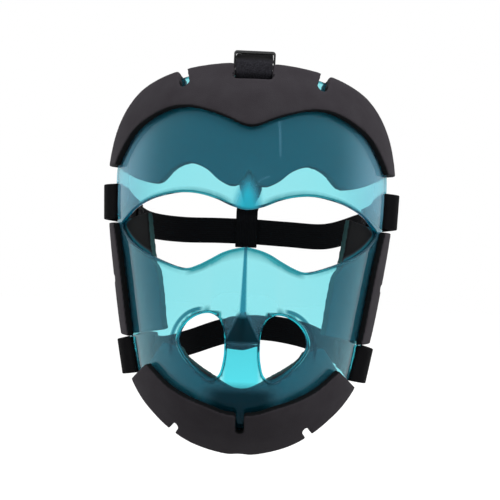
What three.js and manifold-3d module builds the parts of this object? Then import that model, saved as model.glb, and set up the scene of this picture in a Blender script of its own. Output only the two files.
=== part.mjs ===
// Field hockey face mask: a clear moulded shell with foam folded over its edge, held on
// the head by elastic bands whose webbing ends pass through slots and fold back.
// Millimetres, +Z up. The mask faces -Y, and +X is the wearer's left.
import * as THREE from "three";
import { mergeVertices } from "three/addons/utils/BufferGeometryUtils.js";
import Module from "manifold-3d";

const wasm = await Module();
wasm.setup();

// Shell: overall form
const crownHeight = 124.4;
const chinDrop = 129.4;
const halfWidth = 95.3;
const frontDepth = 87;
const bowDepth = 115;
const shellWall = 3;

// Shell: nose and brow
const noseRootHeight = 14;
const noseTipDrop = 40;
const noseLipDrop = 62;
const noseReach = 17;
const noseHalfWidth = 22;
const noseSharpness = 1.4;
const browTop = 62;
const browReach = 6;
const browHalfWidth = 12;

// Shell: eye opening, measured from the line through its two corners
const eyeLine = 18;
const eyeHalfWidth = 87.6;
const eyeRise = 21.8;
const eyeDrop = 28;

// Shell: breathing vents with a raised lip
const ventInner = 11.6;
const ventOuter = 41.9;
const ventTop = 38.7;
const ventBottom = 82;
const lipRadius = 1.7;

// Strap slots, measured in from the shell's edge
const slotLength = 27;
const slotWidth = 4;
const slotInset = 7.5;
const upperSlotHeight = 34.2;
const lowerSlotDrop = 72.5;

// Foam folded over the edge
const foamThickness = 5;
const foldReach = 3.8;
const foamEdgeRound = 1.4;
const foreheadGap = 11.8;
const cheekGap = 2.2;
const chinGap = 3.1;
const foreheadNotchWidth = 6.5;
const foreheadNotchDepth = 12;
const cheekNotchWidth = 3.5;
const cheekNotchDepth = 4;
const chinNotchWidth = 4;
const chinNotchDepth = 8.5;
const chinSlitWidth = 5.5;
const chinSlitDepth = 14;
const crownGapMargin = 1.5;
const crownGapDepth = 14;
// Notch middles as shares of the way round the rim from the crown
const foreheadNotchShare = 0.0623;
const cheekNotchShare = 0.2867;
const chinNotchShare = 0.4387;
// Radius of a notch's round end, as a share of its width
const notchRoundShare = 0.48;

// Webbing, its folds and its free tails
const webbingWidth = 25;
const webbingThickness = 1.8;
const legStart = 4;
const foldStand = 8;
const sideRootRun = 30;
const sideWebbingRun = 70;
const crownRootRun = 29;
const crownWebbingRun = 75;
const tailLength = 34;
const patchInset = 3;
const patchLength = 28;
const patchThickness = 1.2;
const patchMargin = 1.5;

// Elastic bands
const headRear = 125;
const napeRear = 117;
const upperBandHeight = 18;
const lowerBandDrop = 57;
const bandWidth = 20;
const bandThickness = 1.5;
const crownBandWidth = 17;
const crownBandThickness = 1.2;
const stitchOverlap = 14;
const loopSlack = 0.5;
const loopTurnUp = 8;

// Plastic keeper round the two layers of the crown strap
const keeperBar = 2;
const keeperSideBar = 1.3;
const keeperLength = 3;
const keeperSetBack = 10;
const keeperRoom = 8.2;
const crownLift = 5.2;
const crownLevelRun = 16;

// Fits
const seatGap = 0.3;
const foamGap = 0.45;
const bendGap = 0.45;
const overrun = 6;
const probe = 0.5;

// Outlines and tables of the moulded form. Widths are shares of halfWidth, heights are
// shares of crownHeight above the origin and of chinDrop below it.
const rimShares = [
  [0, 1], [0.278, 0.989], [0.51, 0.957], [0.661, 0.916], [0.773, 0.865], [0.865, 0.785],
  [0.934, 0.683], [0.976, 0.571], [1, 0.431], [0.976, 0.149], [0.923, -0.143],
  [0.861, -0.403], [0.815, -0.533], [0.762, -0.655], [0.671, -0.756], [0.561, -0.834],
  [0.45, -0.896], [0.278, -0.96], [0, -1],
];
// Height, then the front profile as a share of frontDepth, then the fullness of the bow
const stationShares = [
  [1, 0.62, 0.923], [0.86, 0.745, 0.981], [0.71, 0.822, 1.028], [0.52, 0.902, 1.043],
  [0.36, 0.954, 1.037], [0.145, 0.977, 1.018], [-0.14, 0.989, 0.965], [-0.4, 1, 0.913],
  [-0.58, 0.977, 0.879], [-0.735, 0.908, 0.847], [-0.89, 0.77, 0.814], [-1, 0.575, 0.797],
];
const eyeTopShares = [
  [0, 0.52], [0.11, 0.61], [0.24, 0.83], [0.36, 0.96], [0.485, 1], [0.6, 0.935],
  [0.74, 0.78], [0.873, 0.505], [0.947, 0.24], [1, 0],
];
const eyeBottomShares = [
  [0.953, 0.25], [0.862, 0.5], [0.745, 0.704], [0.6, 0.882], [0.5, 0.975], [0.434, 0.996],
  [0.35, 0.904], [0.26, 0.754], [0.172, 0.6], [0.086, 0.507], [0, 0.464],
];
const ventShares = [
  [0.333, 0], [0.607, 0.042], [0.871, 0.192], [1, 0.434], [0.888, 0.63], [0.673, 0.804],
  [0.442, 0.942], [0.264, 1], [0.112, 0.931], [0.023, 0.723], [0, 0.492], [0.03, 0.215],
  [0.145, 0.065],
];
const foreheadOuterShares = [
  [0, 0.672], [0.05, 0.678], [0.151, 0.714], [0.27, 0.748], [0.409, 0.773], [0.535, 0.768],
  [0.682, 0.721], [0.806, 0.65], [0.913, 0.521], [0.939, 0.474],
];
const foreheadInnerShares = [
  [0, 0.458], [0.042, 0.402], [0.12, 0.367], [0.21, 0.394], [0.315, 0.458], [0.43, 0.486],
  [0.546, 0.45], [0.651, 0.374], [0.787, 0.386], [0.955, 0.442],
];
const cheekOuterShares = [[0.932, 0.157], [0.881, -0.035], [0.796, -0.399], [0.782, -0.452]];
const cheekInnerShares = [
  [0.689, 0.213], [0.679, -0.05], [0.642, -0.091], [0.582, -0.363], [0.572, -0.402],
];
const chinOuterShares = [
  [0.634, -0.578], [0.57, -0.62], [0.477, -0.675], [0.37, -0.715], [0.208, -0.757],
  [0.11, -0.782], [0, -0.792],
];
const chinInnerShares = [
  [0.525, -0.448], [0.451, -0.495], [0.42, -0.529], [0.21, -0.626], [0, -0.692],
];
// Head line behind a side slot: width share of the strap's leg, depth share of the rear
const headLineShares = [[0.985, 0.16], [0.965, 0.35], [0.87, 0.62], [0.62, 0.86], [0.3, 0.975]];
// How far it has come at those places from the slot's height to the band's, as shares
const upperDropShares = [0.12, 0.42, 0.8, 0.98, 1];
const lowerDropShares = [0.07, 0.26, 0.5, 0.74, 0.93];
// Folds in front of a slot: run in from the shell's edge and stand off it, both in foldStand
const sideFoldShares = [[0.42, 0.55], [-0.1, 0.88], [-0.65, 1], [-1.3, 0.93]];
const crownFoldShares = [[0.66, 0.62], [0.08, 0.92], [-0.42, 0.87]];
// Crown strap's rise to the keeper: shares of keeperSetBack and of crownLift
const crownRiseShares = [[0.33, 0.35], [0.62, 0.88], [1, 1]];
const crownFoldShare = 0.2;
// Crown line over the head: depth from the shell's edge to headRear, and drop from the
// top of the line to the upper band, both as shares
const crownLineShares = [[0.36, -0.05], [0.52, -0.01], [0.72, 0.23], [0.89, 0.59], [0.965, 0.8]];

// Counts
const shellStations = 80;
const shellRings = 14;
const foreheadStations = 26;
const cheekStations = 10;
const chinStations = 24;
const leafSteps = 4;
const foldSteps = 4;
const ventSteps = 24;
const bandSteps = 14;
const crownBandSteps = 34;
const loopSteps = 6;
const tailSteps = 8;
const patchSteps = 6;
const cornerSteps = 3;
const curveDivisions = 1000;
const searchSteps = 40;

const up = new THREE.Vector3(0, 0, 1);
const heightOf = (share) => share * (share > 0 ? crownHeight : chinDrop);
const placeOf = ([width, height]) => new THREE.Vector3(width * halfWidth, 0, heightOf(height));
const mirrored = (point) => new THREE.Vector3(-point.x, point.y, point.z);
const clamp = (value) => THREE.MathUtils.clamp(value, 0, 1);

// Closed body from sections that each hold an outside and an inside run of points.
function sweep(sections, closed = false) {
  const rows = sections.map(({ outside, inside }) => [...outside, ...inside.toReversed()]);
  const size = rows[0].length;
  const positions = rows.flat().flatMap((point) => point.toArray());
  const indices = [];
  const quad = (a, b, c, d) => indices.push(a, b, c, a, c, d);
  const steps = closed ? rows.length : rows.length - 1;
  for (let i = 0; i < steps; i += 1) {
    const here = i * size;
    const next = ((i + 1) % rows.length) * size;
    for (let k = 0; k < size; k += 1) {
      const after = (k + 1) % size;
      quad(here + k, here + after, next + after, next + k);
    }
  }
  const last = steps * size;
  for (let k = 0; !closed && k < size / 2 - 1; k += 1) {
    const back = size - 1 - k;
    quad(k, back, back - 1, k + 1);
    quad(last + k, last + k + 1, last + back - 1, last + back);
  }
  const geometry = new THREE.BufferGeometry();
  geometry.setAttribute("position", new THREE.Float32BufferAttribute(positions, 3));
  geometry.setIndex(indices);
  return solidOf(geometry);
}

// A closed three.js geometry as a solid, turned to face out.
function solidOf(geometry) {
  const plain = geometry.clone();
  plain.deleteAttribute("normal");
  plain.deleteAttribute("uv");
  const merged = mergeVertices(plain);
  const shape = (triVerts) =>
    new wasm.Manifold(
      new wasm.Mesh({
        numProp: 3,
        vertProperties: merged.attributes.position.array,
        triVerts,
      }),
    );
  const triangles = Uint32Array.from(merged.index.array);
  const made = shape(triangles);
  return made.volume() > 0 ? made : shape(triangles.reverse());
}

function geometryOf(solid) {
  const { vertProperties, triVerts } = solid.getMesh();
  const geometry = new THREE.BufferGeometry();
  geometry.setAttribute("position", new THREE.BufferAttribute(vertProperties, 3));
  geometry.setIndex(new THREE.BufferAttribute(triVerts, 1));
  geometry.computeVertexNormals();
  return geometry;
}

const mirrorOf = (solid) => solidOf(geometryOf(solid).scale(-1, 1, 1));

// A flat outline pushed through along the third direction, centred on a point.
function prism(shape, depth, point, right, ahead) {
  const through = new THREE.Vector3().crossVectors(right, ahead);
  const squareAhead = new THREE.Vector3().crossVectors(through, right);
  const geometry = new THREE.ExtrudeGeometry(shape, {
    depth,
    bevelEnabled: false,
    curveSegments: cornerSteps,
  });
  geometry.translate(0, 0, -depth / 2);
  const turn = new THREE.Matrix4().makeBasis(right, squareAhead, through);
  geometry.applyMatrix4(turn.setPosition(point));
  return solidOf(geometry);
}

function roundedRectangle(width, height, radius, path = new THREE.Shape()) {
  const side = width / 2 - radius;
  const top = height / 2 - radius;
  path.absarc(side, top, radius, 0, Math.PI / 2);
  path.absarc(-side, top, radius, Math.PI / 2, Math.PI);
  path.absarc(-side, -top, radius, Math.PI, (3 * Math.PI) / 2);
  path.absarc(side, -top, radius, (3 * Math.PI) / 2, 2 * Math.PI);
  return path;
}

// Smooth value through a table whose first column falls from row to row.
function tableValue(rows, place, column) {
  let low = 0;
  while (low < rows.length - 2 && place < rows[low + 1][0]) low += 1;
  const slope = (row) => {
    const above = rows[Math.max(row - 1, 0)];
    const below = rows[Math.min(row + 1, rows.length - 1)];
    return (below[column] - above[column]) / (below[0] - above[0]);
  };
  const span = rows[low + 1][0] - rows[low][0];
  const t = clamp((place - rows[low][0]) / span);
  const from = rows[low][column];
  const to = rows[low + 1][column];
  const ease = t * t * (3 - 2 * t);
  const leave = t * (1 - t) * (1 - t) * span * slope(low);
  const arrive = t * t * (1 - t) * span * slope(low + 1);
  return from + (to - from) * ease + leave - arrive;
}

const stations = stationShares.map(([height, front, fullness]) => [
  heightOf(height),
  -front * frontDepth,
  fullness * halfWidth,
]);

// Nose: a sharp ridge that grows to the tip, then an underside that falls to the lip.
function noseAt(x, z) {
  const rise = (noseRootHeight - z) / (noseRootHeight + noseTipDrop);
  const fall = (z + noseLipDrop) / (noseLipDrop - noseTipDrop);
  const side = clamp(1 - Math.abs(x) / noseHalfWidth);
  return noseReach * clamp(Math.min(rise, fall)) * side ** noseSharpness;
}

// Brow: a rounded ridge over the middle of the eye opening.
function browAt(x, z) {
  if (z < eyeLine) return 0;
  const fade = clamp((browTop - z) / (browTop - eyeLine - eyeRise / 2));
  return browReach * fade * fade * (3 - 2 * fade) * Math.exp(-((x / browHalfWidth) ** 2));
}

// Depth of the shell's middle surface: a bowed front profile with the nose and brow on it.
function depthAt(x, z) {
  const bow = Math.min(Math.abs(x) / tableValue(stations, z, 2), 0.99);
  const plain = tableValue(stations, z, 1) + bowDepth * (1 - Math.sqrt(1 - bow * bow));
  return plain - noseAt(x, z) - browAt(x, z);
}

function normalAt(x, z) {
  const acrossSlope = (depthAt(x + probe, z) - depthAt(x - probe, z)) / (2 * probe);
  const upSlope = (depthAt(x, z + probe) - depthAt(x, z - probe)) / (2 * probe);
  return new THREE.Vector3(acrossSlope, -1, upSlope).normalize();
}

function shellPoint(x, z, offset = 0) {
  return new THREE.Vector3(x, depthAt(x, z), z).addScaledVector(normalAt(x, z), offset);
}

function closedOutline(half) {
  const back = half.slice(1, -1).toReversed().map(mirrored);
  const outline = new THREE.CatmullRomCurve3([...half, ...back], true, "centripetal");
  outline.arcLengthDivisions = curveDivisions;
  return outline;
}

const rim = closedOutline(rimShares.map(placeOf));
const eyeEdge = closedOutline([
  ...eyeTopShares.map(([x, z]) => new THREE.Vector3(x * eyeHalfWidth, 0, eyeLine + z * eyeRise)),
  ...eyeBottomShares.map(([x, z]) => new THREE.Vector3(x * eyeHalfWidth, 0, eyeLine - z * eyeDrop)),
]);

// Share of the way round the rim from the crown, down the wearer's left, to a height.
function rimShareAt(height) {
  let low = 0;
  let high = 1 / 2;
  for (let step = 0; step < searchSteps; step += 1) {
    const middle = (low + high) / 2;
    if (rim.getPointAt(middle).z > height) low = middle;
    else high = middle;
  }
  return low;
}
const rimLength = rim.getLength();
const upperSlotShare = rimShareAt(upperSlotHeight);
const lowerSlotShare = rimShareAt(-lowerSlotDrop);

// Directions at a place on the rim: along it, out of the shell's face, and in from the edge.
function rimFrame(share) {
  const flat = rim.getPointAt((share + 1) % 1);
  const run = rim.getTangentAt((share + 1) % 1);
  const point = shellPoint(flat.x, flat.z);
  const outward = normalAt(flat.x, flat.z);
  const along = run.clone().addScaledVector(outward, -run.dot(outward)).normalize();
  const inward = new THREE.Vector3().crossVectors(along, outward);
  return { point, outward, along, inward };
}

// Point at a run in from the edge and a stand off the shell's middle surface.
function overEdge(frame, run, stand) {
  if (run < 0) {
    return frame.point
      .clone()
      .addScaledVector(frame.inward, run)
      .addScaledVector(frame.outward, stand);
  }
  const x = frame.point.x + frame.inward.x * run;
  const z = frame.point.z + frame.inward.z * run;
  return shellPoint(x, z, stand);
}

// The same directions at the middle of a slot, square to the shell there.
function slotFrame(frame) {
  const point = overEdge(frame, slotInset, 0);
  const outward = normalAt(point.x, point.z);
  const along = frame.along.clone().addScaledVector(outward, -frame.along.dot(outward));
  along.normalize();
  return { point, outward, along, inward: new THREE.Vector3().crossVectors(along, outward) };
}

function slotCutter(share) {
  const { point, along, inward } = slotFrame(rimFrame(share));
  const shape = roundedRectangle(slotLength, slotWidth, slotWidth / 4);
  return prism(shape, 2 * overrun, point, along, inward);
}

// Shell
function ventOutline(count) {
  const width = ventOuter - ventInner;
  const height = ventBottom - ventTop;
  const points = ventShares.map(
    ([x, z]) => new THREE.Vector3(ventInner + x * width, 0, -ventTop - z * height),
  );
  return new THREE.CatmullRomCurve3(points, true, "centripetal").getSpacedPoints(count);
}

function ventCutter() {
  const outline = ventOutline(ventSteps * 2).map((point) => new THREE.Vector2(point.x, point.z));
  const centre = new THREE.Vector3(0, -frontDepth, 0);
  const right = new THREE.Vector3(1, 0, 0);
  return prism(new THREE.Shape(outline), 2 * frontDepth, centre, right, up);
}

// Lip: a bead round the vent that stands on the shell's outer face.
function ventLip() {
  const path = ventOutline(ventSteps).slice(0, -1);
  const sections = path.map((point, i) => {
    const before = path.at(i - 1);
    const after = path[(i + 1) % path.length];
    const outward = normalAt(point.x, point.z);
    const run = after.clone().sub(before).setY(0).normalize();
    const across = new THREE.Vector3().crossVectors(run, outward).normalize();
    const centre = shellPoint(point.x, point.z, shellWall / 2);
    const at = (angle) =>
      centre
        .clone()
        .addScaledVector(across, lipRadius * Math.cos(angle))
        .addScaledVector(outward, lipRadius * Math.sin(angle));
    const turn = Math.PI / 3;
    return { outside: [at(0), at(turn), at(2 * turn)], inside: [at(5 * turn), at(4 * turn), at(3 * turn)] };
  });
  return sweep(sections, true);
}

function makeShell() {
  const sections = [];
  for (let i = 0; i < shellStations; i += 1) {
    const share = i / shellStations;
    const edge = rim.getPointAt(share);
    const eye = eyeEdge.getPointAt(share);
    const outside = [];
    const inside = [];
    for (let k = 0; k <= shellRings; k += 1) {
      const place = eye.clone().lerp(edge, Math.sin((Math.PI / 2) * (k / shellRings) ** 0.9));
      outside.push(shellPoint(place.x, place.z, shellWall / 2));
      inside.push(shellPoint(place.x, place.z, -shellWall / 2));
    }
    sections.push({ outside, inside });
  }
  let shell = sweep(sections, true);
  const lip = ventLip();
  const vent = ventCutter();
  shell = shell.add(lip).add(mirrorOf(lip));
  shell = shell.subtract(vent).subtract(mirrorOf(vent));
  for (const share of [upperSlotShare, lowerSlotShare]) {
    const slot = slotCutter(share);
    shell = shell.subtract(slot).subtract(mirrorOf(slot));
  }
  return shell.subtract(slotCutter(0));
}

// Foam folded over the shell's edge, from one share of the rim to another. Each leaf
// reaches from the rim to its own edge line.
function foldedFoam(fromShare, toShare, outerLine, innerLine, count) {
  const seat = shellWall / 2 + foamGap;
  const skin = seat + foamThickness;
  const outerEdge = new THREE.CatmullRomCurve3(outerLine, false, "centripetal");
  const innerEdge = new THREE.CatmullRomCurve3(innerLine, false, "centripetal");
  const sections = [];
  for (let i = 0; i <= count; i += 1) {
    const frame = rimFrame(fromShare + (toShare - fromShare) * (i / count));
    const outside = [];
    const inside = [];
    const leaf = (edge, side) => {
      const reach = edge.distanceTo(frame.point.clone().setY(0));
      const runs = [0, foamEdgeRound / reach];
      for (let k = 1; k < leafSteps; k += 1) runs.push(k / leafSteps);
      return runs.map((run) => {
        const place = edge.clone().lerp(frame.point, run);
        const cut = run === 0 ? foamEdgeRound : 0;
        return {
          skin: shellPoint(place.x, place.z, side * (skin - cut)),
          seat: shellPoint(place.x, place.z, side * seat),
        };
      });
    };
    const push = (pairs) => {
      pairs.forEach((pair) => outside.push(pair.skin));
      pairs.forEach((pair) => inside.push(pair.seat));
    };
    push(leaf(outerEdge.getPointAt(i / count), 1));
    for (let k = 0; k <= foldSteps; k += 1) {
      const angle = Math.PI * (0.5 - k / foldSteps);
      const at = (reach, stand) =>
        frame.point
          .clone()
          .addScaledVector(frame.inward, -reach * Math.cos(angle))
          .addScaledVector(frame.outward, stand * Math.sin(angle));
      outside.push(at(foldReach, skin));
      inside.push(at(2 * foamGap, seat));
    }
    push(leaf(innerEdge.getPointAt(i / count), -1).toReversed());
    sections.push({ outside, inside });
  }
  return sweep(sections);
}

// Relief notch across the fold, round at its inner end.
function notchCutter(share, width, depth) {
  const frame = rimFrame(share);
  const length = depth + overrun;
  const shape = roundedRectangle(width, length, width * notchRoundShare);
  const centre = overEdge(frame, 0, 0);
  centre.addScaledVector(frame.inward, depth - foldReach - length / 2);
  const tall = 2 * (foamThickness + shellWall + overrun);
  return prism(shape, tall, centre, frame.along, frame.inward);
}

const mirroredLine = (half) => [...half.slice(1).toReversed().map(mirrored), ...half];

function makeForeheadWrap() {
  const end = upperSlotShare - (webbingWidth / 2 + foreheadGap) / rimLength;
  const outer = mirroredLine(foreheadOuterShares.map(placeOf));
  const inner = mirroredLine(foreheadInnerShares.map(placeOf));
  let wrap = foldedFoam(-end, end, outer, inner, foreheadStations);
  const notch = notchCutter(foreheadNotchShare, foreheadNotchWidth, foreheadNotchDepth);
  wrap = wrap.subtract(notch).subtract(mirrorOf(notch));
  const frame = rimFrame(0);
  const height = crownGapDepth + overrun;
  const shape = roundedRectangle(webbingWidth + 2 * crownGapMargin, height, crownGapMargin);
  const centre = frame.point
    .clone()
    .addScaledVector(frame.inward, crownGapDepth - foldReach - height / 2);
  const tall = 2 * (foamThickness + shellWall + overrun);
  return wrap.subtract(prism(shape, tall, centre, frame.along, frame.inward));
}

function makeCheekWrap() {
  const top = upperSlotShare + (webbingWidth / 2 + cheekGap) / rimLength;
  const bottom = lowerSlotShare - (webbingWidth / 2 + cheekGap) / rimLength;
  const outer = cheekOuterShares.map(placeOf);
  const inner = cheekInnerShares.map(placeOf);
  const notch = notchCutter(cheekNotchShare, cheekNotchWidth, cheekNotchDepth);
  return foldedFoam(top, bottom, outer, inner, cheekStations).subtract(notch);
}

function makeChinWrap() {
  const end = lowerSlotShare + (webbingWidth / 2 + chinGap) / rimLength;
  const outer = mirroredLine(chinOuterShares.map(placeOf).toReversed()).toReversed();
  const inner = mirroredLine(chinInnerShares.map(placeOf).toReversed()).toReversed();
  let wrap = foldedFoam(end, 1 - end, outer, inner, chinStations);
  const notch = notchCutter(chinNotchShare, chinNotchWidth, chinNotchDepth);
  wrap = wrap.subtract(notch).subtract(mirrorOf(notch));
  const edge = placeOf(chinOuterShares.at(-1));
  const length = chinSlitDepth + overrun;
  const depth = foamThickness + overrun;
  const centre = shellPoint(0, edge.z - chinSlitDepth + length / 2, depth / 2);
  const shape = roundedRectangle(chinSlitWidth, length, chinSlitWidth * notchRoundShare);
  const right = new THREE.Vector3(1, 0, 0);
  const middle = edge.z - chinSlitDepth / 2;
  const outward = normalAt(0, middle);
  const ahead = new THREE.Vector3().crossVectors(outward, right);
  return wrap.subtract(prism(shape, depth, centre, right, ahead));
}

// Strip along a run of places, each with a point and the direction of its width. Where
// it lies on a bowed wall, sag is how far its two edges drop behind its middle.
const noSag = new THREE.Vector3();
function strip(places, width, thickness) {
  const sides = places.some(({ sag }) => sag) ? [-1, 0, 1] : [-1, 1];
  const sections = places.map(({ point, across, sag = noSag }, i) => {
    const before = places[Math.max(i - 1, 0)].point;
    const after = places[Math.min(i + 1, places.length - 1)].point;
    const forward = after.clone().sub(before).normalize();
    const square = across.clone().addScaledVector(forward, -forward.dot(across)).normalize();
    const face = new THREE.Vector3().crossVectors(forward, square);
    const corner = (side, layer) =>
      point
        .clone()
        .addScaledVector(square, (side * width) / 2)
        .addScaledVector(face, (layer * thickness) / 2)
        .addScaledVector(sag, Math.abs(side));
    const layer = (side) => sides.map((share) => corner(share, side));
    return { outside: layer(1), inside: layer(-1) };
  });
  return sweep(sections);
}

const tailStand = webbingThickness + patchThickness + 2 * seatGap;
const legStand = -(shellWall / 2 + seatGap + webbingThickness / 2);
const barEdge = slotInset - slotWidth / 2;

// One strap anchor: the webbing lies along the head line, passes out through the slot,
// folds round the bar at the shell's edge and comes back over itself as a free tail.
function makeAnchor({ frame, rearLine, farAcross, foldShares, foldEnd, rootRun, webbingRun }) {
  const near = frame.along.clone().negate();
  const bow = [-1, 1].map((side) => {
    const reach = (side * webbingWidth) / 2;
    const x = frame.point.x + frame.along.x * reach;
    const z = frame.point.z + frame.along.z * reach;
    return shellPoint(x, z).sub(frame.point).dot(frame.outward) / 2;
  });
  const fullSag = frame.outward.clone().multiplyScalar(bow[0] + bow[1]);
  const legLine = [legStart, legStart / 2, 0].map((run) => overEdge(frame, run, legStand));
  const line = new THREE.CatmullRomCurve3([...legLine, ...rearLine], false, "centripetal");
  line.arcLengthDivisions = curveDivisions;
  const total = line.getLength();
  const place = (run, stand) => {
    const share = clamp(run / total);
    const turned = clamp(run / webbingRun);
    const forward = line.getTangentAt(share);
    const across = near.clone().lerp(farAcross, turned * turned * (3 - 2 * turned));
    across.addScaledVector(forward, -forward.dot(across)).normalize();
    const outward = new THREE.Vector3().crossVectors(forward, across).normalize();
    return { point: line.getPointAt(share).addScaledVector(outward, stand), across, outward };
  };
  const places = (from, to, stand, count, ease = 1) =>
    Array.from({ length: count + 1 }, (_, i) => place(from + (to - from) * (i / count) ** ease, stand));

  const slot = slotFrame(frame);
  const bend = webbingThickness / 2 + bendGap;
  const half = shellWall / 2;
  const diagonal = bend * Math.SQRT1_2;
  const throughSlot = [
    [barEdge, -half - bend],
    [barEdge + diagonal, -half - diagonal],
    [barEdge + bend, -half],
    [barEdge + bend, half],
    [barEdge + diagonal, half + diagonal],
  ].map(([run, stand]) =>
    slot.point
      .clone()
      .addScaledVector(slot.inward, run - slotInset)
      .addScaledVector(slot.outward, stand),
  );
  const fold = foldShares.map(([run, stand]) =>
    overEdge(frame, run * foldStand, stand * foldStand),
  );
  const root = place(rootRun - seatGap, tailStand);
  const lead = place(rootRun - seatGap - webbingThickness * 2, tailStand);
  const path = new THREE.CatmullRomCurve3(
    [legLine[1], legLine[0], ...throughSlot, ...fold, ...foldEnd, lead.point, root.point],
    false,
    "centripetal",
  );
  const folded = path.getPoints((path.points.length - 1) * 2).slice(2);
  const strapPlaces = [
    ...places(0, webbingRun, 0, bandSteps, 2).toReversed(),
    ...folded.slice(1).map((point) => ({ point, across: near })),
  ];
  strapPlaces.at(-1).across = root.across;
  for (const entry of strapPlaces) {
    const clear = (entry.point.distanceTo(frame.point) - slotInset) / webbingThickness;
    entry.sag = fullSag.clone().multiplyScalar(1 - clamp(clear));
  }
  return {
    place,
    places,
    total,
    strap: strip(strapPlaces, webbingWidth, webbingThickness),
    tail: strip(
      places(rootRun, rootRun + tailLength, tailStand, tailSteps),
      webbingWidth,
      webbingThickness,
    ),
    patch: strip(
      places(
        rootRun + patchInset,
        rootRun + patchInset + patchLength,
        (webbingThickness + patchThickness) / 2 + seatGap,
        patchSteps,
      ),
      webbingWidth - 2 * patchMargin,
      patchThickness,
    ),
    hinge: {
      point: place(rootRun, tailStand + webbingThickness / 2).point,
      axis: place(rootRun, tailStand).across.negate(),
    },
  };
}

function makeSideAnchor(share, rear, rearHeight, dropShares) {
  const frame = rimFrame(share);
  const leg = overEdge(frame, 0, legStand);
  const rearLine = headLineShares.map(([width, depth], i) => {
    const z = THREE.MathUtils.lerp(leg.z, rearHeight, dropShares[i]);
    return new THREE.Vector3(width * leg.x, leg.y + depth * (rear - leg.y), z);
  });
  rearLine.push(new THREE.Vector3(0, rear, rearHeight));
  return makeAnchor({
    frame,
    rearLine,
    farAcross: up,
    foldShares: sideFoldShares,
    foldEnd: [],
    rootRun: sideRootRun,
    webbingRun: sideWebbingRun,
  });
}

// Elastic band that joins a side anchor to its mirror round the back of the head.
const bandInset = (webbingThickness + bandThickness) / 2 + seatGap;
function makeBand(anchor) {
  const start = sideWebbingRun - stitchOverlap;
  const half = anchor.places(start, anchor.total, -bandInset, bandSteps);
  half.at(-1).point.x = 0;
  const back = half.slice(0, -1).toReversed().map(({ point, across }) => ({
    point: mirrored(point),
    across: mirrored(across),
  }));
  return strip([...half, ...back], bandWidth, bandThickness);
}

const upperAnchor = makeSideAnchor(upperSlotShare, headRear, upperBandHeight, upperDropShares);
const lowerAnchor = makeSideAnchor(lowerSlotShare, napeRear, -lowerBandDrop, lowerDropShares);

// Crown strap and the band that hangs from it and loops round the upper band
const crownFrame = rimFrame(0);
const crownTop = crownFrame.point;
const bandRear = upperAnchor.place(upperAnchor.total, -bandInset).point.y;
const loopOuter = bandRear + (bandThickness + crownBandThickness) / 2 + seatGap + loopSlack;
const loopInner = bandRear - (bandThickness + crownBandThickness) / 2 - seatGap - loopSlack;
const crownPoint = (ahead, rise) =>
  new THREE.Vector3(0, crownTop.y + ahead, crownTop.z + rise);

const crownRearLine = [
  ...crownRiseShares.map(([run, rise]) => crownPoint(run * keeperSetBack, rise * crownLift)),
  crownPoint(keeperSetBack + crownLevelRun, crownLift),
  ...crownLineShares.map(([depth, drop]) => {
    const top = crownTop.z + crownLift;
    const y = THREE.MathUtils.lerp(crownTop.y, loopOuter + bandInset, depth);
    return new THREE.Vector3(0, y, top - drop * (top - upperBandHeight));
  }),
  new THREE.Vector3(0, loopOuter + bandInset, upperBandHeight + bandWidth / 2 + loopTurnUp),
  new THREE.Vector3(0, loopOuter + bandInset, upperBandHeight),
];
const crownAnchor = makeAnchor({
  frame: crownFrame,
  rearLine: crownRearLine,
  farAcross: crownFrame.along.clone().negate(),
  foldShares: crownFoldShares,
  foldEnd: [crownFoldShare, 1].map((share) =>
    crownPoint(share * keeperSetBack, crownLift + tailStand),
  ),
  rootRun: crownRootRun,
  webbingRun: crownWebbingRun,
});

function makeCrownBand() {
  const inset = -((webbingThickness + crownBandThickness) / 2 + seatGap);
  const across = crownFrame.along.clone().negate();
  const over = crownAnchor.places(crownWebbingRun - stitchOverlap, crownAnchor.total, inset, crownBandSteps);
  const lowEdge = upperBandHeight - bandWidth / 2;
  const middle = (loopOuter + loopInner) / 2;
  const radius = (loopOuter - loopInner) / 2;
  const loop = [];
  for (let k = 0; k <= loopSteps; k += 1) {
    const angle = (Math.PI * k) / loopSteps;
    const y = middle + radius * Math.cos(angle);
    loop.push(new THREE.Vector3(0, y, lowEdge - radius * Math.sin(angle)));
  }
  loop.push(new THREE.Vector3(0, loopInner, upperBandHeight));
  loop.push(new THREE.Vector3(0, loopInner, upperBandHeight + bandWidth / 2 + loopTurnUp));
  const places = [...over, ...loop.map((point) => ({ point, across }))];
  return strip(places, crownBandWidth, crownBandThickness);
}

function makeKeeper() {
  const width = webbingWidth + 2 * seatGap;
  const height = keeperRoom;
  const outline = roundedRectangle(width + 2 * keeperSideBar, height + 2 * keeperBar, keeperBar);
  outline.holes.push(roundedRectangle(width, height, seatGap * 2, new THREE.Path()));
  const low = crownLift - webbingThickness / 2 - seatGap;
  const centre = crownPoint(keeperSetBack, low + height / 2);
  return prism(outline, keeperLength, centre, new THREE.Vector3(1, 0, 0), up);
}

// Finishes
const finish = (color, roughness, more = {}) =>
  new THREE.MeshStandardMaterial({ color, roughness, metalness: 0, ...more });
const clearTurquoise = () => finish(0x53c9db, 0.08, { transparent: true, opacity: 0.45 });
const foam = () => finish(0x2b292d, 0.85);
const webbing = () => finish(0x141416, 0.9);
const elastic = () => finish(0x101012, 0.8);
const hookTape = () => finish(0x1c1c1f, 0.95);
const gloss = () => finish(0x1a1a1c, 0.35);

function named(name, solid, material) {
  const mesh = new THREE.Mesh(geometryOf(solid), material);
  mesh.name = name;
  return mesh;
}

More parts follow.
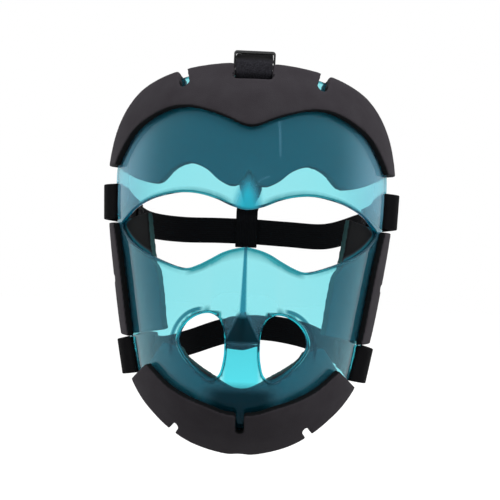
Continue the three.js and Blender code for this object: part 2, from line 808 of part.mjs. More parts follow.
// A free tail with its hook patch, and the line it peels about.
function tailGroup(name, anchor, side) {
  const shape = (solid) => (side < 0 ? mirrorOf(solid) : solid);
  const group = new THREE.Group();
  group.add(named(name + "_tail", shape(anchor.tail), webbing()));
  group.add(named(name + "_hook_patch", shape(anchor.patch), hookTape()));
  const { point, axis } = anchor.hinge;
  group.userData.hinge = {
    point: [side * point.x, point.y, point.z],
    axis: [axis.x, side * axis.y, side * axis.z],
  };
  return group;
}

const mask = new THREE.Group();
const hardParts = new THREE.Group();
hardParts.add(named("shell", makeShell(), clearTurquoise()));
hardParts.add(named("crown_keeper", makeKeeper(), gloss()));

const foamParts = new THREE.Group();
const cheek = makeCheekWrap();
foamParts.add(named("forehead_wrap", makeForeheadWrap(), foam()));
foamParts.add(named("left_cheek_wrap", cheek, foam()));
foamParts.add(named("right_cheek_wrap", mirrorOf(cheek), foam()));
foamParts.add(named("chin_wrap", makeChinWrap(), foam()));

const strapParts = new THREE.Group();
for (const [level, anchor] of [["upper", upperAnchor], ["lower", lowerAnchor]]) {
  strapParts.add(named(level + "_band", makeBand(anchor), elastic()));
  strapParts.add(named("left_" + level + "_strap", anchor.strap, webbing()));
  strapParts.add(named("right_" + level + "_strap", mirrorOf(anchor.strap), webbing()));
  strapParts.add(tailGroup("left_" + level, anchor, 1));
  strapParts.add(tailGroup("right_" + level, anchor, -1));
}
strapParts.add(named("crown_band", makeCrownBand(), elastic()));
strapParts.add(named("crown_strap", crownAnchor.strap, webbing()));
strapParts.add(tailGroup("crown", crownAnchor, 1));

mask.add(hardParts, foamParts, strapParts);
export default mask;
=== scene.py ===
# Field hockey face mask: a clear turquoise shell with black foam folded over its edge,
# held on the head by elastic bands whose webbing ends fold back through slots.
# Metres, in the CAD frame: +Z up, the mask faces -Y, and +X is the wearer's left.
import bisect
import math

import bmesh
import bpy
from mathutils import Matrix, Vector
from mathutils.kdtree import KDTree


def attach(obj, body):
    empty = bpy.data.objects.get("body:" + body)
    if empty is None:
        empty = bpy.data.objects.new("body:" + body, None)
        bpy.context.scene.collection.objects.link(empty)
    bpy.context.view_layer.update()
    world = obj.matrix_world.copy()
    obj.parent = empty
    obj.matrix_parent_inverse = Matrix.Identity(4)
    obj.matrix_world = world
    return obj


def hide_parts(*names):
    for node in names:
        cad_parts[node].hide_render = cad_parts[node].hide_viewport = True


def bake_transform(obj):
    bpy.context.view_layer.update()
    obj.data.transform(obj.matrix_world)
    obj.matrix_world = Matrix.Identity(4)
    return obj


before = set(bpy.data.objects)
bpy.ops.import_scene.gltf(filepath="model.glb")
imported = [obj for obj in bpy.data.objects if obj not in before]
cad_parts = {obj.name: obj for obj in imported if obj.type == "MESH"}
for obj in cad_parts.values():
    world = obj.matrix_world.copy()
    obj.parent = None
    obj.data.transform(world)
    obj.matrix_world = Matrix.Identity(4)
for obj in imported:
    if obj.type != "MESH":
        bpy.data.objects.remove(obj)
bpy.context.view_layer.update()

# Camera
# A long lens a metre in front of the mask, a little to the wearer's left and turned a
# little, as the photograph was taken.
camera_aim = Vector((0.0014, -0.03, 0.0034))
camera_distance = 1.0
picture_width = 0.345
camera_side = math.radians(1.3)
camera_roll = math.radians(2.2)

camera_data = bpy.data.cameras.new("camera")
camera_data.sensor_width = 36.0
camera_data.lens = camera_data.sensor_width * camera_distance / picture_width
camera = bpy.data.objects.new("camera", camera_data)
camera_back = Vector((math.sin(camera_side), -math.cos(camera_side), 0))
camera_turn = (-camera_back).to_track_quat("-Z", "Y").to_matrix()
camera_turn = camera_turn @ Matrix.Rotation(camera_roll, 3, "Z")
camera.matrix_world = Matrix.Translation(camera_aim + camera_back * camera_distance) @ (
    camera_turn.to_4x4()
)
bpy.context.scene.collection.objects.link(camera)
bpy.context.scene.camera = camera

# Shell
# One injection moulded clear polycarbonate wall, bowed round the face, with a sharp nose,
# a brow ridge, one wide eye opening, two lipped breathing vents and five strap slots.
crown_height, chin_drop, half_width = 0.1244, 0.1294, 0.0953
front_depth, bow_depth, shell_wall = 0.087, 0.115, 0.003
nose_root, nose_tip, nose_lip = 0.014, 0.040, 0.062
nose_reach, nose_half_width, nose_sharpness = 0.017, 0.0199, 1.4
ridge_round, tip_softness, lip_softness = 0.0022, 0.12, 0.06
brow_top, brow_reach, brow_half_width = 0.062, 0.006, 0.012
eye_line, eye_half_width, eye_rise, eye_drop = 0.018, 0.0876, 0.0218, 0.028
vent_inner, vent_outer, vent_top, vent_bottom = 0.0116, 0.0419, 0.0387, 0.082
lip_radius = 0.0017
slot_length, slot_width, slot_inset = 0.027, 0.004, 0.0075
slot_corner, slot_cut, shell_crease = 0.001, 0.012, 32
upper_slot_height, lower_slot_drop = 0.0342, 0.0725
edge_round = 0.0013

rim_shares = [
    (0, 1), (0.278, 0.989), (0.51, 0.957), (0.661, 0.916), (0.773, 0.865), (0.865, 0.785),
    (0.934, 0.683), (0.976, 0.571), (1, 0.431), (0.976, 0.149), (0.923, -0.143),
    (0.861, -0.403), (0.815, -0.533), (0.762, -0.655), (0.671, -0.756), (0.561, -0.834),
    (0.45, -0.896), (0.278, -0.96), (0, -1),
]
# Height, then the front profile as a share of front_depth, then the fullness of the bow
station_shares = [
    (1, 0.62, 0.923), (0.86, 0.745, 0.981), (0.71, 0.822, 1.028), (0.52, 0.902, 1.043),
    (0.36, 0.954, 1.037), (0.145, 0.977, 1.018), (-0.14, 0.989, 0.965), (-0.4, 1, 0.913),
    (-0.58, 0.977, 0.879), (-0.735, 0.908, 0.847), (-0.89, 0.77, 0.814), (-1, 0.575, 0.797),
]
eye_top_shares = [
    (0, 0.52), (0.11, 0.61), (0.24, 0.83), (0.36, 0.96), (0.485, 1), (0.6, 0.935),
    (0.74, 0.78), (0.873, 0.505), (0.947, 0.24), (1, 0),
]
eye_bottom_shares = [
    (0.953, 0.25), (0.862, 0.5), (0.745, 0.704), (0.6, 0.882), (0.5, 0.975), (0.434, 0.996),
    (0.35, 0.904), (0.26, 0.754), (0.172, 0.6), (0.086, 0.507), (0, 0.464),
]
vent_shares = [
    (0.333, 0), (0.607, 0.042), (0.871, 0.192), (1, 0.434), (0.888, 0.63), (0.673, 0.804),
    (0.442, 0.942), (0.264, 1), (0.112, 0.931), (0.023, 0.723), (0, 0.492), (0.03, 0.215),
    (0.145, 0.065),
]


def smooth_line(knots, closed=False, steps=24):
    """A smooth line through knots, as a function of the share of its length."""
    count = len(knots)
    trail = []
    for i in range(count if closed else count - 1):
        if closed:
            a, b, c, d = (knots[(i + k) % count] for k in (-1, 0, 1, 2))
        else:
            a = knots[i - 1] if i else 2 * knots[0] - knots[1]
            b, c = knots[i], knots[i + 1]
            d = knots[i + 2] if i + 2 < count else 2 * knots[-1] - knots[-2]
        t1 = (b - a).length ** 0.5
        t2 = t1 + (c - b).length ** 0.5
        t3 = t2 + (d - c).length ** 0.5
        for k in range(steps):
            t = t1 + (t2 - t1) * k / steps
            ab = a.lerp(b, t / t1)
            bc = b.lerp(c, (t - t1) / (t2 - t1))
            cd = c.lerp(d, (t - t2) / (t3 - t2))
            near = ab.lerp(bc, t / t2)
            far = bc.lerp(cd, (t - t1) / (t3 - t1))
            trail.append(near.lerp(far, (t - t1) / (t2 - t1)))
    trail.append(trail[0].copy() if closed else knots[-1].copy())
    lengths = [0.0]
    for p, q in zip(trail, trail[1:]):
        lengths.append(lengths[-1] + (q - p).length)

    def at(share):
        share = share % 1.0 if closed else min(max(share, 0.0), 1.0)
        run = share * lengths[-1]
        i = min(max(bisect.bisect_right(lengths, run) - 1, 0), len(trail) - 2)
        return trail[i].lerp(trail[i + 1], (run - lengths[i]) / (lengths[i + 1] - lengths[i]))

    at.length = lengths[-1]
    return at


def direction_along(line, share):
    return (line(share + 0.0005) - line(share - 0.0005)).normalized()


def height_of(share):
    return share * (crown_height if share > 0 else chin_drop)


def place_of(shares):
    return Vector((shares[0] * half_width, 0, height_of(shares[1])))


def mirrored(point):
    return Vector((-point.x, point.y, point.z))


def whole_outline(half):
    return smooth_line([*half, *(mirrored(p) for p in reversed(half[1:-1]))], closed=True)


def eased(share):
    share = min(max(share, 0), 1)
    return share * share * (3 - 2 * share)


def table_value(rows, place, column):
    """A column of a table at a place between its rows, smoothly."""
    low = 0
    while low < len(rows) - 2 and place < rows[low + 1][0]:
        low += 1

    def slope(row):
        above, below = rows[max(row - 1, 0)], rows[min(row + 1, len(rows) - 1)]
        return (below[column] - above[column]) / (below[0] - above[0])

    span = rows[low + 1][0] - rows[low][0]
    t = min(max((place - rows[low][0]) / span, 0), 1)
    leave = t * (1 - t) * (1 - t) * span * slope(low)
    arrive = t * t * (1 - t) * span * slope(low + 1)
    start, end = rows[low][column], rows[low + 1][column]
    return start + (end - start) * eased(t) + leave - arrive


stations = [(height_of(h), -f * front_depth, w * half_width) for h, f, w in station_shares]


def depth_at(x, z):
    """Depth of the middle of the wall: the bowed front with the nose and brow on it."""
    bow = min(abs(x) / table_value(stations, z, 2), 0.99)
    depth = table_value(stations, z, 1) + bow_depth * (1 - math.sqrt(1 - bow * bow))
    rise = (nose_root - z) / (nose_root + nose_tip)
    fall = (z + nose_lip) / (nose_lip - nose_tip)
    swell = (rise + fall - math.hypot(rise - fall, tip_softness)) / 2
    swell = (swell + math.hypot(swell, lip_softness)) / 2
    side = max(1 - (math.hypot(x, ridge_round) - ridge_round) / nose_half_width, 0)
    depth -= nose_reach * swell * side**nose_sharpness
    if z >= eye_line:
        fade = eased((brow_top - z) / (brow_top - eye_line - eye_rise / 2))
        depth -= brow_reach * fade * math.exp(-((x / brow_half_width) ** 2))
    return depth


def normal_at(x, z, reach=0.0004):
    across = (depth_at(x + reach, z) - depth_at(x - reach, z)) / (2 * reach)
    upward = (depth_at(x, z + reach) - depth_at(x, z - reach)) / (2 * reach)
    return Vector((across, -1, upward)).normalized()


def shell_point(x, z, offset=0.0):
    return Vector((x, depth_at(x, z), z)) + normal_at(x, z) * offset


rim = whole_outline([place_of(s) for s in rim_shares])
eye_edge = whole_outline(
    [Vector((x * eye_half_width, 0, eye_line + z * eye_rise)) for x, z in eye_top_shares]
    + [Vector((x * eye_half_width, 0, eye_line - z * eye_drop)) for x, z in eye_bottom_shares]
)


def formed(rows, columns, place, uv=None):
    """A sheet of rows by columns whose corners go where place says, welded where they meet."""
    made = bmesh.new()
    bmesh.ops.create_grid(made, x_segments=rows, y_segments=columns, size=1.0)
    cell = {
        v: (round((v.co.x + 1) * rows / 2), round((v.co.y + 1) * columns / 2))
        for v in made.verts
    }
    layer = made.loops.layers.uv.new("UVMap")
    for face in made.faces:
        for loop in face.loops:
            i, k = cell[loop.vert]
            loop[layer].uv = uv(i, k) if uv else (i / rows, k / columns)
    for v, (i, k) in cell.items():
        v.co = place(i, k)
    bmesh.ops.remove_doubles(made, verts=made.verts, dist=1e-6)
    return made


def closed_up(made):
    """Caps the open ends of a bmesh and turns its faces outwards."""
    bmesh.ops.holes_fill(made, edges=[e for e in made.edges if e.is_boundary])
    bmesh.ops.recalc_face_normals(made, faces=made.faces)
    if made.calc_volume(signed=True) < 0:
        bmesh.ops.reverse_faces(made, faces=made.faces)
    return made


def piece_of(name, made, crease=40):
    mesh = bpy.data.meshes.new(name)
    made.to_mesh(mesh)
    made.free()
    mesh.shade_smooth()
    mesh.set_sharp_from_angle(angle=math.radians(crease))
    piece = bpy.data.objects.new(name, mesh)
    bpy.context.scene.collection.objects.link(piece)
    return piece


def cut(piece, cutters, operation="DIFFERENCE"):
    """Joins or cuts a piece with each cutter, and removes the cutters."""
    for cutter in cutters:
        modifier = piece.modifiers.new("cut", "BOOLEAN")
        modifier.operation = operation
        modifier.solver = "EXACT"
        modifier.object = cutter
    whole = piece.evaluated_get(bpy.context.evaluated_depsgraph_get())
    mesh = bpy.data.meshes.new_from_object(whole)
    old = piece.data
    piece.modifiers.clear()
    piece.data = mesh
    bpy.data.meshes.remove(old)
    for cutter in cutters:
        bpy.data.objects.remove(cutter)
    mesh.name = piece.name
    return piece


def mirror_image(made):
    """A copy of a bmesh on the other side of the face."""
    copy = made.copy()
    bmesh.ops.scale(copy, vec=Vector((-1, 1, 1)), verts=copy.verts)
    bmesh.ops.reverse_faces(copy, faces=copy.faces)
    return copy


def raised(made, ring, way):
    """A block: the face inside a ring of vertices, extruded one way."""
    grown = bmesh.ops.extrude_face_region(made, geom=[made.faces.new(ring)])
    lifted = [g for g in grown["geom"] if isinstance(g, bmesh.types.BMVert)]
    bmesh.ops.translate(made, vec=way, verts=lifted)
    return closed_up(made)


def block_cutter(point, right, ahead, width, height, corner, tall, steps=10):
    """A round-cornered block centred on a point, to cut a slot or a notch with."""
    made = bmesh.new()
    through = right.cross(ahead).normalized()
    foot, up = point - through * tall / 2, through.cross(right)
    ring = []
    for turn, (side, end) in enumerate(((1, 1), (-1, 1), (-1, -1), (1, -1))):
        for k in range(steps + 1):
            angle = (turn + k / steps) * math.pi / 2
            x = side * (width / 2 - corner) + corner * math.cos(angle)
            y = end * (height / 2 - corner) + corner * math.sin(angle)
            ring.append(made.verts.new(foot + right * x + up * y))
    return raised(made, ring, through * tall)


def rim_share_at(height):
    """Share of the way round the rim from the crown, down the wearer's left, to a height."""
    low, high = 0.0, 0.5
    for _ in range(40):
        middle = (low + high) / 2
        if rim(middle).z > height:
            low = middle
        else:
            high = middle
    return low


def rim_frame(share):
    """Point on the rim, and the directions out of the face, along the rim and inwards."""
    flat = rim(share)
    run = direction_along(rim, share)
    outward = normal_at(flat.x, flat.z)
    along = (run - outward * run.dot(outward)).normalized()
    return shell_point(flat.x, flat.z), outward, along, along.cross(outward)


def over_edge(at, run, stand):
    """Point at a run in from the edge and a stand off the middle of the wall."""
    point, outward, along, inward = at
    if run < 0:
        return point + inward * run + outward * stand
    place = point + inward * run
    return shell_point(place.x, place.z, stand)


def slot_frame(at):
    point = over_edge(at, slot_inset, 0)
    outward = normal_at(point.x, point.z)
    along = (at[2] - outward * at[2].dot(outward)).normalized()
    return point, outward, along, along.cross(outward)


upper_slot, lower_slot = rim_share_at(upper_slot_height), rim_share_at(-lower_slot_drop)
vent_width, vent_height = vent_outer - vent_inner, vent_bottom - vent_top
vent_line = smooth_line(
    [Vector((vent_inner + x * vent_width, 0, -vent_top - z * vent_height)) for x, z in vent_shares],
    closed=True,
)

shell_stations, shell_rings, shell_edge_steps = 440, 44, 6
shell_crowding = 0.6
edge_band, edge_fade = 0.0008, 0.002
# The painted shade arc outside each vent follows an ellipse round it
painted_arc_middle, painted_arc_reach = (0.026, -0.062), (0.0215, 0.026)


def shell_section(i):
    """One closed loop through the wall, from the eye opening out to the rim and back."""
    u = i / shell_stations
    share = u - shell_crowding * math.sin(4 * math.pi * u) / (4 * math.pi)
    eye, edge = eye_edge(share), rim(share)
    inset = (edge - eye).normalized() * edge_round
    eye, edge = eye + inset, edge - inset
    band = inset.normalized() * edge_band
    places = [eye] + [
        (eye + band).lerp(edge - band, math.sin(math.pi / 2 * (k / shell_rings) ** 0.9))
        for k in range(shell_rings + 1)
    ] + [edge]
    half = shell_wall / 2
    outer = [shell_point(p.x, p.z, half) for p in places]
    inner = [shell_point(p.x, p.z, -half) for p in places]

    def rounded(top, bottom, before):
        middle, up = (top + bottom) / 2, (top - bottom).normalized()
        out = middle - before
        out = (out - up * out.dot(up)).normalized()
        angles = [math.pi / 2 * k / shell_edge_steps for k in range(shell_edge_steps + 1)]
        turned = [
            (edge_round * math.sin(a), half - edge_round + edge_round * math.cos(a))
            for a in angles
        ]
        turned += [(run, -stand) for run, stand in reversed(turned)]
        return [middle + out * run + up * stand for run, stand in turned]

    at_rim = rounded(outer[-1], inner[-1], (outer[-2] + inner[-2]) / 2)
    at_eye = rounded(inner[0], outer[0], (outer[1] + inner[1]) / 2)
    return outer[1:-1] + at_rim + list(reversed(inner[1:-1])) + at_eye


shell_sections = [shell_section(i) for i in range(shell_stations)]
shell_loop = len(shell_sections[0])
shell = piece_of("clear_shell", closed_up(formed(
    shell_stations, shell_loop, lambda i, k: shell_sections[i % shell_stations][k % shell_loop]
)))


def vent_block(steps=120):
    """The air way through a vent, straight back through the wall."""
    made = bmesh.new()
    ahead = Vector((0, -1.5 * front_depth, 0))
    ring = [made.verts.new(vent_line(k / steps) + ahead) for k in range(steps)]
    return raised(made, ring, Vector((0, front_depth, 0)))


def vent_lip(rows=150, columns=16):
    """The bead round a vent, which stands on the outer face."""

    def place(i, k):
        point = vent_line(i / rows)
        outward = normal_at(point.x, point.z)
        across = direction_along(vent_line, i / rows).cross(outward).normalized()
        angle = 2 * math.pi * k / columns
        swing = across * math.cos(angle) + outward * math.sin(angle)
        return shell_point(point.x, point.z, shell_wall / 2) + swing * lip_radius

    return closed_up(formed(rows, columns, place))


def slot_block(share):
    middle, _, along, inward = slot_frame(rim_frame(share))
    return block_cutter(middle, along, inward, slot_length, slot_width, slot_corner, slot_cut)


lip, air_way = vent_lip(), vent_block()
cut(shell, [piece_of("lip", mirror_image(lip)), piece_of("lip", lip)], "UNION")
holes = [air_way, mirror_image(air_way), slot_block(0)]
for share in (upper_slot, lower_slot):
    holes += [slot_block(share), mirror_image(slot_block(share))]
cut(shell, [piece_of("hole", hole) for hole in holes])
shell.data.shade_smooth()
shell.data.set_sharp_from_angle(angle=math.radians(shell_crease))

# How near each point is to a moulded edge, from 0 in the wall to 1 at the edge itself
edge_tree = KDTree(3 * shell_stations)
for i in range(3 * shell_stations):
    edge_tree.insert((eye_edge, rim, vent_line)[i % 3](i // 3 / shell_stations), i)
edge_tree.balance()


def marked(piece, mark, values):
    """Keeps a value for each vertex of a piece, which its material reads by name."""
    piece.data.attributes.new(mark, "FLOAT", "POINT").data.foreach_set("value", values)


near_edge = []
for vertex in shell.data.vertices:
    x, _, z = vertex.co
    far = min(edge_tree.find((side, 0, z))[2] for side in (x, abs(x)))
    near_edge.append(1 - min(far / (edge_round + edge_band), 1))
marked(shell, "near_edge", near_edge)


def material(name):
    """A new material, whose nodes the functions below work on."""
    global nodes, shader
    made = bpy.data.materials.new(name)
    made.use_nodes = True
    nodes = made.node_tree.nodes
    shader = nodes["Principled BSDF"]
    return made


def fill(node, sockets):
    """Links or sets sockets of a node. Colours are given as red, green and blue."""
    for name, value in sockets.items():
        socket = node.inputs[name]
        if isinstance(value, bpy.types.NodeSocket):
            node.id_data.links.new(value, socket)
        else:
            socket.default_value = (*value, 1) if socket.type == "RGBA" else value


def added(kind, sockets, result=0, **traits):
    """The result of a new node, with its traits and then its sockets set."""
    node = nodes.new("ShaderNode" + kind)
    for trait, value in traits.items():
        setattr(node, trait, value)
    fill(node, sockets)
    return node.outputs[result]


def on_object():
    return added("TexCoord", {}, "Object")


def parts(vector):
    return added("SeparateXYZ", {"Vector": vector}).node.outputs


def noise(scale, detail=2):
    return added("TexNoise", {"Vector": on_object(), "Scale": scale, "Detail": detail}, "Fac")


def worked(operation, a, b=0):
    return added("Math", {0: a, 1: b}, operation=operation)


def times(*shares):
    product = shares[0]
    for share in shares[1:]:
        product = worked("MULTIPLY", product, share)
    return product


def ranged(value, start, end, low, high):
    """A value from low to high, as the given one goes from start to end."""
    return added("MapRange", {
        "Value": value, "From Min": start, "From Max": end, "To Min": low, "To Max": high,
    })


def between(value, start, end):
    """0 at start and 1 at end, eased, of a value in the material."""
    return added("MapRange", {"Value": value, "From Min": start, "From Max": end},
                 interpolation_type="SMOOTHSTEP")


def tinted(colour, share, deep):
    """The colour, turned to a deeper one by a share."""
    return added("Mix", {"Factor": share, "A": colour, "B": deep}, "Result", data_type="RGBA")


def ramp(value, *stops):
    """The colour at a value, on a line through stops of a position and a colour."""
    node = nodes.new("ShaderNodeValToRGB")
    fill(node, {"Fac": value})
    line = node.color_ramp.elements
    for k in (0, -1):
        line[k].position, line[k].color = stops[k][0], (*stops[k][1], 1)
    for position, colour in stops[1:-1]:
        line.new(position).color = (*colour, 1)
    return node.outputs["Color"]


def bumped(height, strength, distance):
    relief = added("Bump", {"Height": height, "Strength": strength, "Distance": distance})
    fill(shader, {"Normal": relief})


clear_turquoise = material("clear_turquoise")
fill(shader, {"IOR": 1.585, "Transmission Weight": 1, "Specular Tint": (0.2, 0.4, 0.56)})
place_on = parts(on_object())
aside, height = worked("ABSOLUTE", place_on["X"]), place_on["Z"]


def leaning(level, slope):
    """Distance from the middle of the face, which grows with the height above a level."""
    return worked("ADD", aside, worked("MULTIPLY", worked("SUBTRACT", height, level), slope))


def area(distance, fade, *levels):
    """A part of the wall, fading in from one distance to another and between heights."""
    return times(between(distance, *fade), *(between(height, *level) for level in levels))


# Painted shade deepens the tint down the nose ridge, under the nose and in an arc outside each
# vent. The brow and the column between the vents get a deeper tint in place of thicker plastic, and
# the chin patch serves only the milky layer below.
brow = area(
    leaning(0.031, 0.27), (0.0135, 0.0025), (0.060, 0.038), (eye_line, eye_line + edge_fade)
)
ridge = area(
    leaning(0, 0.016), (0.0015, 0.0005), (eye_line, eye_line - edge_fade), (-0.044, -0.041)
)
under = area(leaning(-0.040, 0.46), (0.0055, 0.0025), (-0.035, -0.041), (-0.0595, -0.0555))
chin = area(aside, (0.036, 0.014), (-0.080, -0.092))
column = area(aside, (0.0145, 0.0095), (-0.055, -0.060))
# Painted shade: a dark arc outside each vent, where a raised rim would throw its shadow
across = worked("DIVIDE", worked("SUBTRACT", aside, painted_arc_middle[0]), painted_arc_reach[0])
down = worked("DIVIDE", worked("SUBTRACT", height, painted_arc_middle[1]), painted_arc_reach[1])
ring = worked("POWER", worked("ADD", times(across, across), times(down, down)), 0.5)
off_ring = worked("ABSOLUTE", worked("SUBTRACT", ring, 1))
painted_vent_arc = times(area(off_ring, (0.065, 0.03), (-0.072, -0.060)), between(aside, 0.0255, 0.0295))
tint_and_painted_shade = (1, 1, 1)
for patch, deep in (
    (brow, (0.14, 0.6, 0.7)), (column, (0.26, 0.84, 0.9)), (ridge, (0.03, 0.26, 0.34)),
    (under, (0.03, 0.2, 0.24)), (painted_vent_arc, (0.05, 0.22, 0.27)),
):
    tint_and_painted_shade = tinted(tint_and_painted_shade, patch, deep)
# Painted light and shade along every edge: two dark lines and a bright cyan one, as the wall seen
# edge-on shows its depth of tint
painted_edge_lines = ramp(
    added("Attribute", {}, "Fac", attribute_name="near_edge"),
    (0.02, (1, 1, 1)), (0.22, (0.01, 0.2, 0.22)), (0.45, (0.01, 0.22, 0.24)),
    (0.6, (0.04, 0.72, 0.78)), (1, (0.02, 0.6, 0.66)),
)
fill(shader, {
    "Base Color": added("Mix", {"Factor": 1, "A": tint_and_painted_shade, "B": painted_edge_lines}, "Result",
                        data_type="RGBA", blend_type="MULTIPLY"),
    "Roughness": ranged(noise(260, 8), 0.5, 0.8, 0.015, 0.07),
})
bumped(noise(45, 1), 0.12, 0.0006)
# A faint milky veil, stronger where the wall turns to the side and in the patches above, that
# carries painted light and shade: a lavender painted reflection at the sides, a bright cyan painted
# light in the brow and near-black painted shade under the nose and at the chin
facing = parts(added("NewGeometry", {}, "Normal"))
side = times(between(worked("ABSOLUTE", facing["X"]), 0.6, 0.92), between(height, 0, 0.04))
haze_colour_and_painted_light = tinted((0.14, 0.5, 0.68), side, (0.36, 0.76, 1))
haze_colour_and_painted_light = tinted(haze_colour_and_painted_light, brow, (0.04, 0.7, 0.9))
haze_colour_and_painted_light = tinted(haze_colour_and_painted_light, worked("MAXIMUM", under, chin), (0.001, 0.04, 0.06))
haze_share_and_painted_light = worked("ADD", ranged(facing["Z"], -0.58, -0.3, 0.01, 0.085), times(side, 0.22))
for patch, most in ((under, 0.8), (chin, 0.6), (brow, 0.6)):
    haze_share_and_painted_light = worked("MAXIMUM", haze_share_and_painted_light, times(patch, most))
haze_shader_and_painted_light = added("BsdfDiffuse", {"Color": haze_colour_and_painted_light})
fill(nodes["Material Output"], {
    "Surface": added("MixShader", {0: haze_share_and_painted_light, 1: shader.outputs[0], 2: haze_shader_and_painted_light}),
    "Volume": added("VolumeAbsorption", {"Color": (0, 0.885, 0.93), "Density": 350}),
})
shell.data.materials.append(clear_turquoise)
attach(shell, "mask")
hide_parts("shell")

# Foam wraps
# Black closed-cell foam sheet, 5 mm thick, folded over the shell's edge and glued on both
# faces: one over the forehead, one on each cheek and one round the chin. Small notches
# let it bend round the curve.
foam_thickness, foam_gap, fold_reach = 0.005, 0.00045, 0.0038
forehead_end_gap, cheek_end_gap, chin_end_gap = 0.0118, 0.0022, 0.0031
strap_width = 0.025
# Each notch: its share round the rim, width and depth, and the rounds of foot and mouth
forehead_notch = (0.0623, 0.0068, 0.019, 0.0034, 0.0015)
crown_gap = (0, 0.0253, 0.014, 0.0015, 0.0028)
cheek_notch = (0.2867, 0.004, 0.0062, 0.002, 0.0007)
chin_notch = (0.4387, 0.005, 0.0125, 0.0025, 0.0012)
chin_slit_width, chin_slit_depth, chin_slit_corner = 0.0055, 0.014, 0.00264
chin_slit_stand, chin_slit_cut = 0.0055, 0.011
notch_overrun, notch_reach, edge_inset = 0.006, 0.014, 0.009
leaf_steps, fold_steps, rim_count = 14, 12, 400
forehead_rows, cheek_rows, chin_rows = 120, 60, 100
rim_tree = KDTree(rim_count)
for i in range(rim_count):
    rim_tree.insert(shell_point(rim(i / rim_count).x, rim(i / rim_count).z), i)
rim_tree.balance()
forehead_outer_shares = [
    (0, 0.672), (0.05, 0.678), (0.151, 0.714), (0.27, 0.748), (0.409, 0.773), (0.535, 0.768),
    (0.682, 0.721), (0.806, 0.65), (0.913, 0.521), (0.939, 0.474),
]
forehead_inner_shares = [
    (0, 0.458), (0.042, 0.402), (0.12, 0.367), (0.21, 0.394), (0.315, 0.458), (0.43, 0.486),
    (0.546, 0.45), (0.651, 0.374), (0.787, 0.386), (0.955, 0.442),
]
cheek_outer_shares = [(0.932, 0.157), (0.881, -0.035), (0.796, -0.399), (0.782, -0.452)]
cheek_inner_shares = [
    (0.74, 0.213), (0.682, -0.05), (0.642, -0.091), (0.582, -0.363), (0.572, -0.402),
]
chin_outer_shares = [
    (0.634, -0.578), (0.57, -0.62), (0.477, -0.675), (0.37, -0.715), (0.208, -0.757),
    (0.11, -0.782), (0, -0.792),
]
chin_inner_shares = [
    (0.565, -0.462), (0.46, -0.49), (0.42, -0.529), (0.21, -0.626), (0, -0.692),
]
foam_voxel = 0.00093
# Foam nearer than this to the shell is seen through it
shell_near = 0.0016


def folded_foam(start, end, outer_line, inner_line, rows):
    """Foam folded over the rim from one share of it to another, out to two edge lines."""
    outer_edge, inner_edge = smooth_line(outer_line), smooth_line(inner_line)
    seat = shell_wall / 2 + foam_gap
    skin = seat + foam_thickness
    sections = []
    for i in range(rows + 1):
        point, outward, _, inward = rim_frame(start + (end - start) * i / rows)
        flat = Vector((point.x, 0, point.z))
        pairs = []
        for edge, side in ((outer_edge(i / rows), 1), (inner_edge(i / rows), -1)):
            leaf = [edge.lerp(flat, k / leaf_steps) for k in range(leaf_steps)][::side]
            pairs += [
                (shell_point(p.x, p.z, side * skin), shell_point(p.x, p.z, side * seat))
                for p in leaf
            ]
            for k in range(fold_steps + 1) if side > 0 else ():
                angle = math.pi * (0.5 - k / fold_steps)
                turn, lift = math.cos(angle), math.sin(angle)
                pairs.append((
                    point - inward * fold_reach * turn + outward * skin * lift,
                    point - inward * foam_gap * 2 * turn + outward * seat * lift,
                ))
        sections.append([p for p, _ in pairs] + [p for _, p in reversed(pairs)])
    loop = len(sections[0])
    return closed_up(formed(rows, loop, lambda i, k: sections[i][k % loop]))


def notch_block(share, width, depth, foot_round, mouth_round, steps=8):
    """A notch in from the fold, with a round foot and a mouth that opens out."""
    point, outward, along, inward = rim_frame(share)
    side = width / 2
    angles = [math.pi / 2 * k / steps for k in range(steps + 1)]
    half = [
        (side - foot_round + foot_round * math.sin(a), foot_round * (1 - math.cos(a)))
        for a in angles
    ] + [
        (side + mouth_round * (1 - math.cos(a)), depth - mouth_round * (1 - math.sin(a)))
        for a in angles
    ] + [(side + mouth_round, depth + notch_overrun)]
    foot = point + inward * (depth - fold_reach) - outward * notch_reach
    made = bmesh.new()
    ring = [
        made.verts.new(foot + along * x - inward * y)
        for x, y in half + [(-x, y) for x, y in reversed(half)]
    ]
    bmesh.ops.remove_doubles(made, verts=ring, dist=1e-6)
    return raised(made, [v for v in ring if v.is_valid], outward * 2 * notch_reach)


def shade_foam(piece):
    """Marks painted shade on the cut edges and on what shows in the eye opening, and painted light
    on the inner leaf's bare cut and on what lies against the shell.
    """
    marks = {"painted_foam_shade": [], "inner_edge": [], "painted_shell_light": []}
    for vertex in piece.data.vertices:
        _, near, out, _ = shell.closest_point_on_mesh(vertex.co)
        toward, normal = near - vertex.co, vertex.normal
        x, y, z = vertex.co
        inset = rim_tree.find(vertex.co)[2] - edge_inset
        # Painted shade on the outer leaf's cut edges
        edge = eased((0.8 - abs(normal.dot(out))) / 0.3) * eased(inset / 0.002)
        # Behind the shell: painted light on the bare cut of the inner leaf, and painted shade on
        # its face in the eye opening
        within = inset > 0 and y > depth_at(x, z)
        inward = -normal.x if x > 0 else normal.x
        stripe = eased((inward - 0.2) / 0.2) if within and normal.y < -0.2 else 0.0
        open_front = eased((-normal.y - 0.1) / 0.2) * eased((toward.length - shell_near) / 0.001)
        # Painted light where the foam lies against the shell, as if lit through it
        touching = eased((toward.normalized().dot(normal) - 0.5) / 0.3)
        marks["painted_foam_shade"].append(open_front * (1 - stripe) if within else edge)
        marks["inner_edge"].append(stripe)
        marks["painted_shell_light"].append(touching if toward.length < shell_near else 0.0)
    for mark, values in marks.items():
        marked(piece, mark, values)


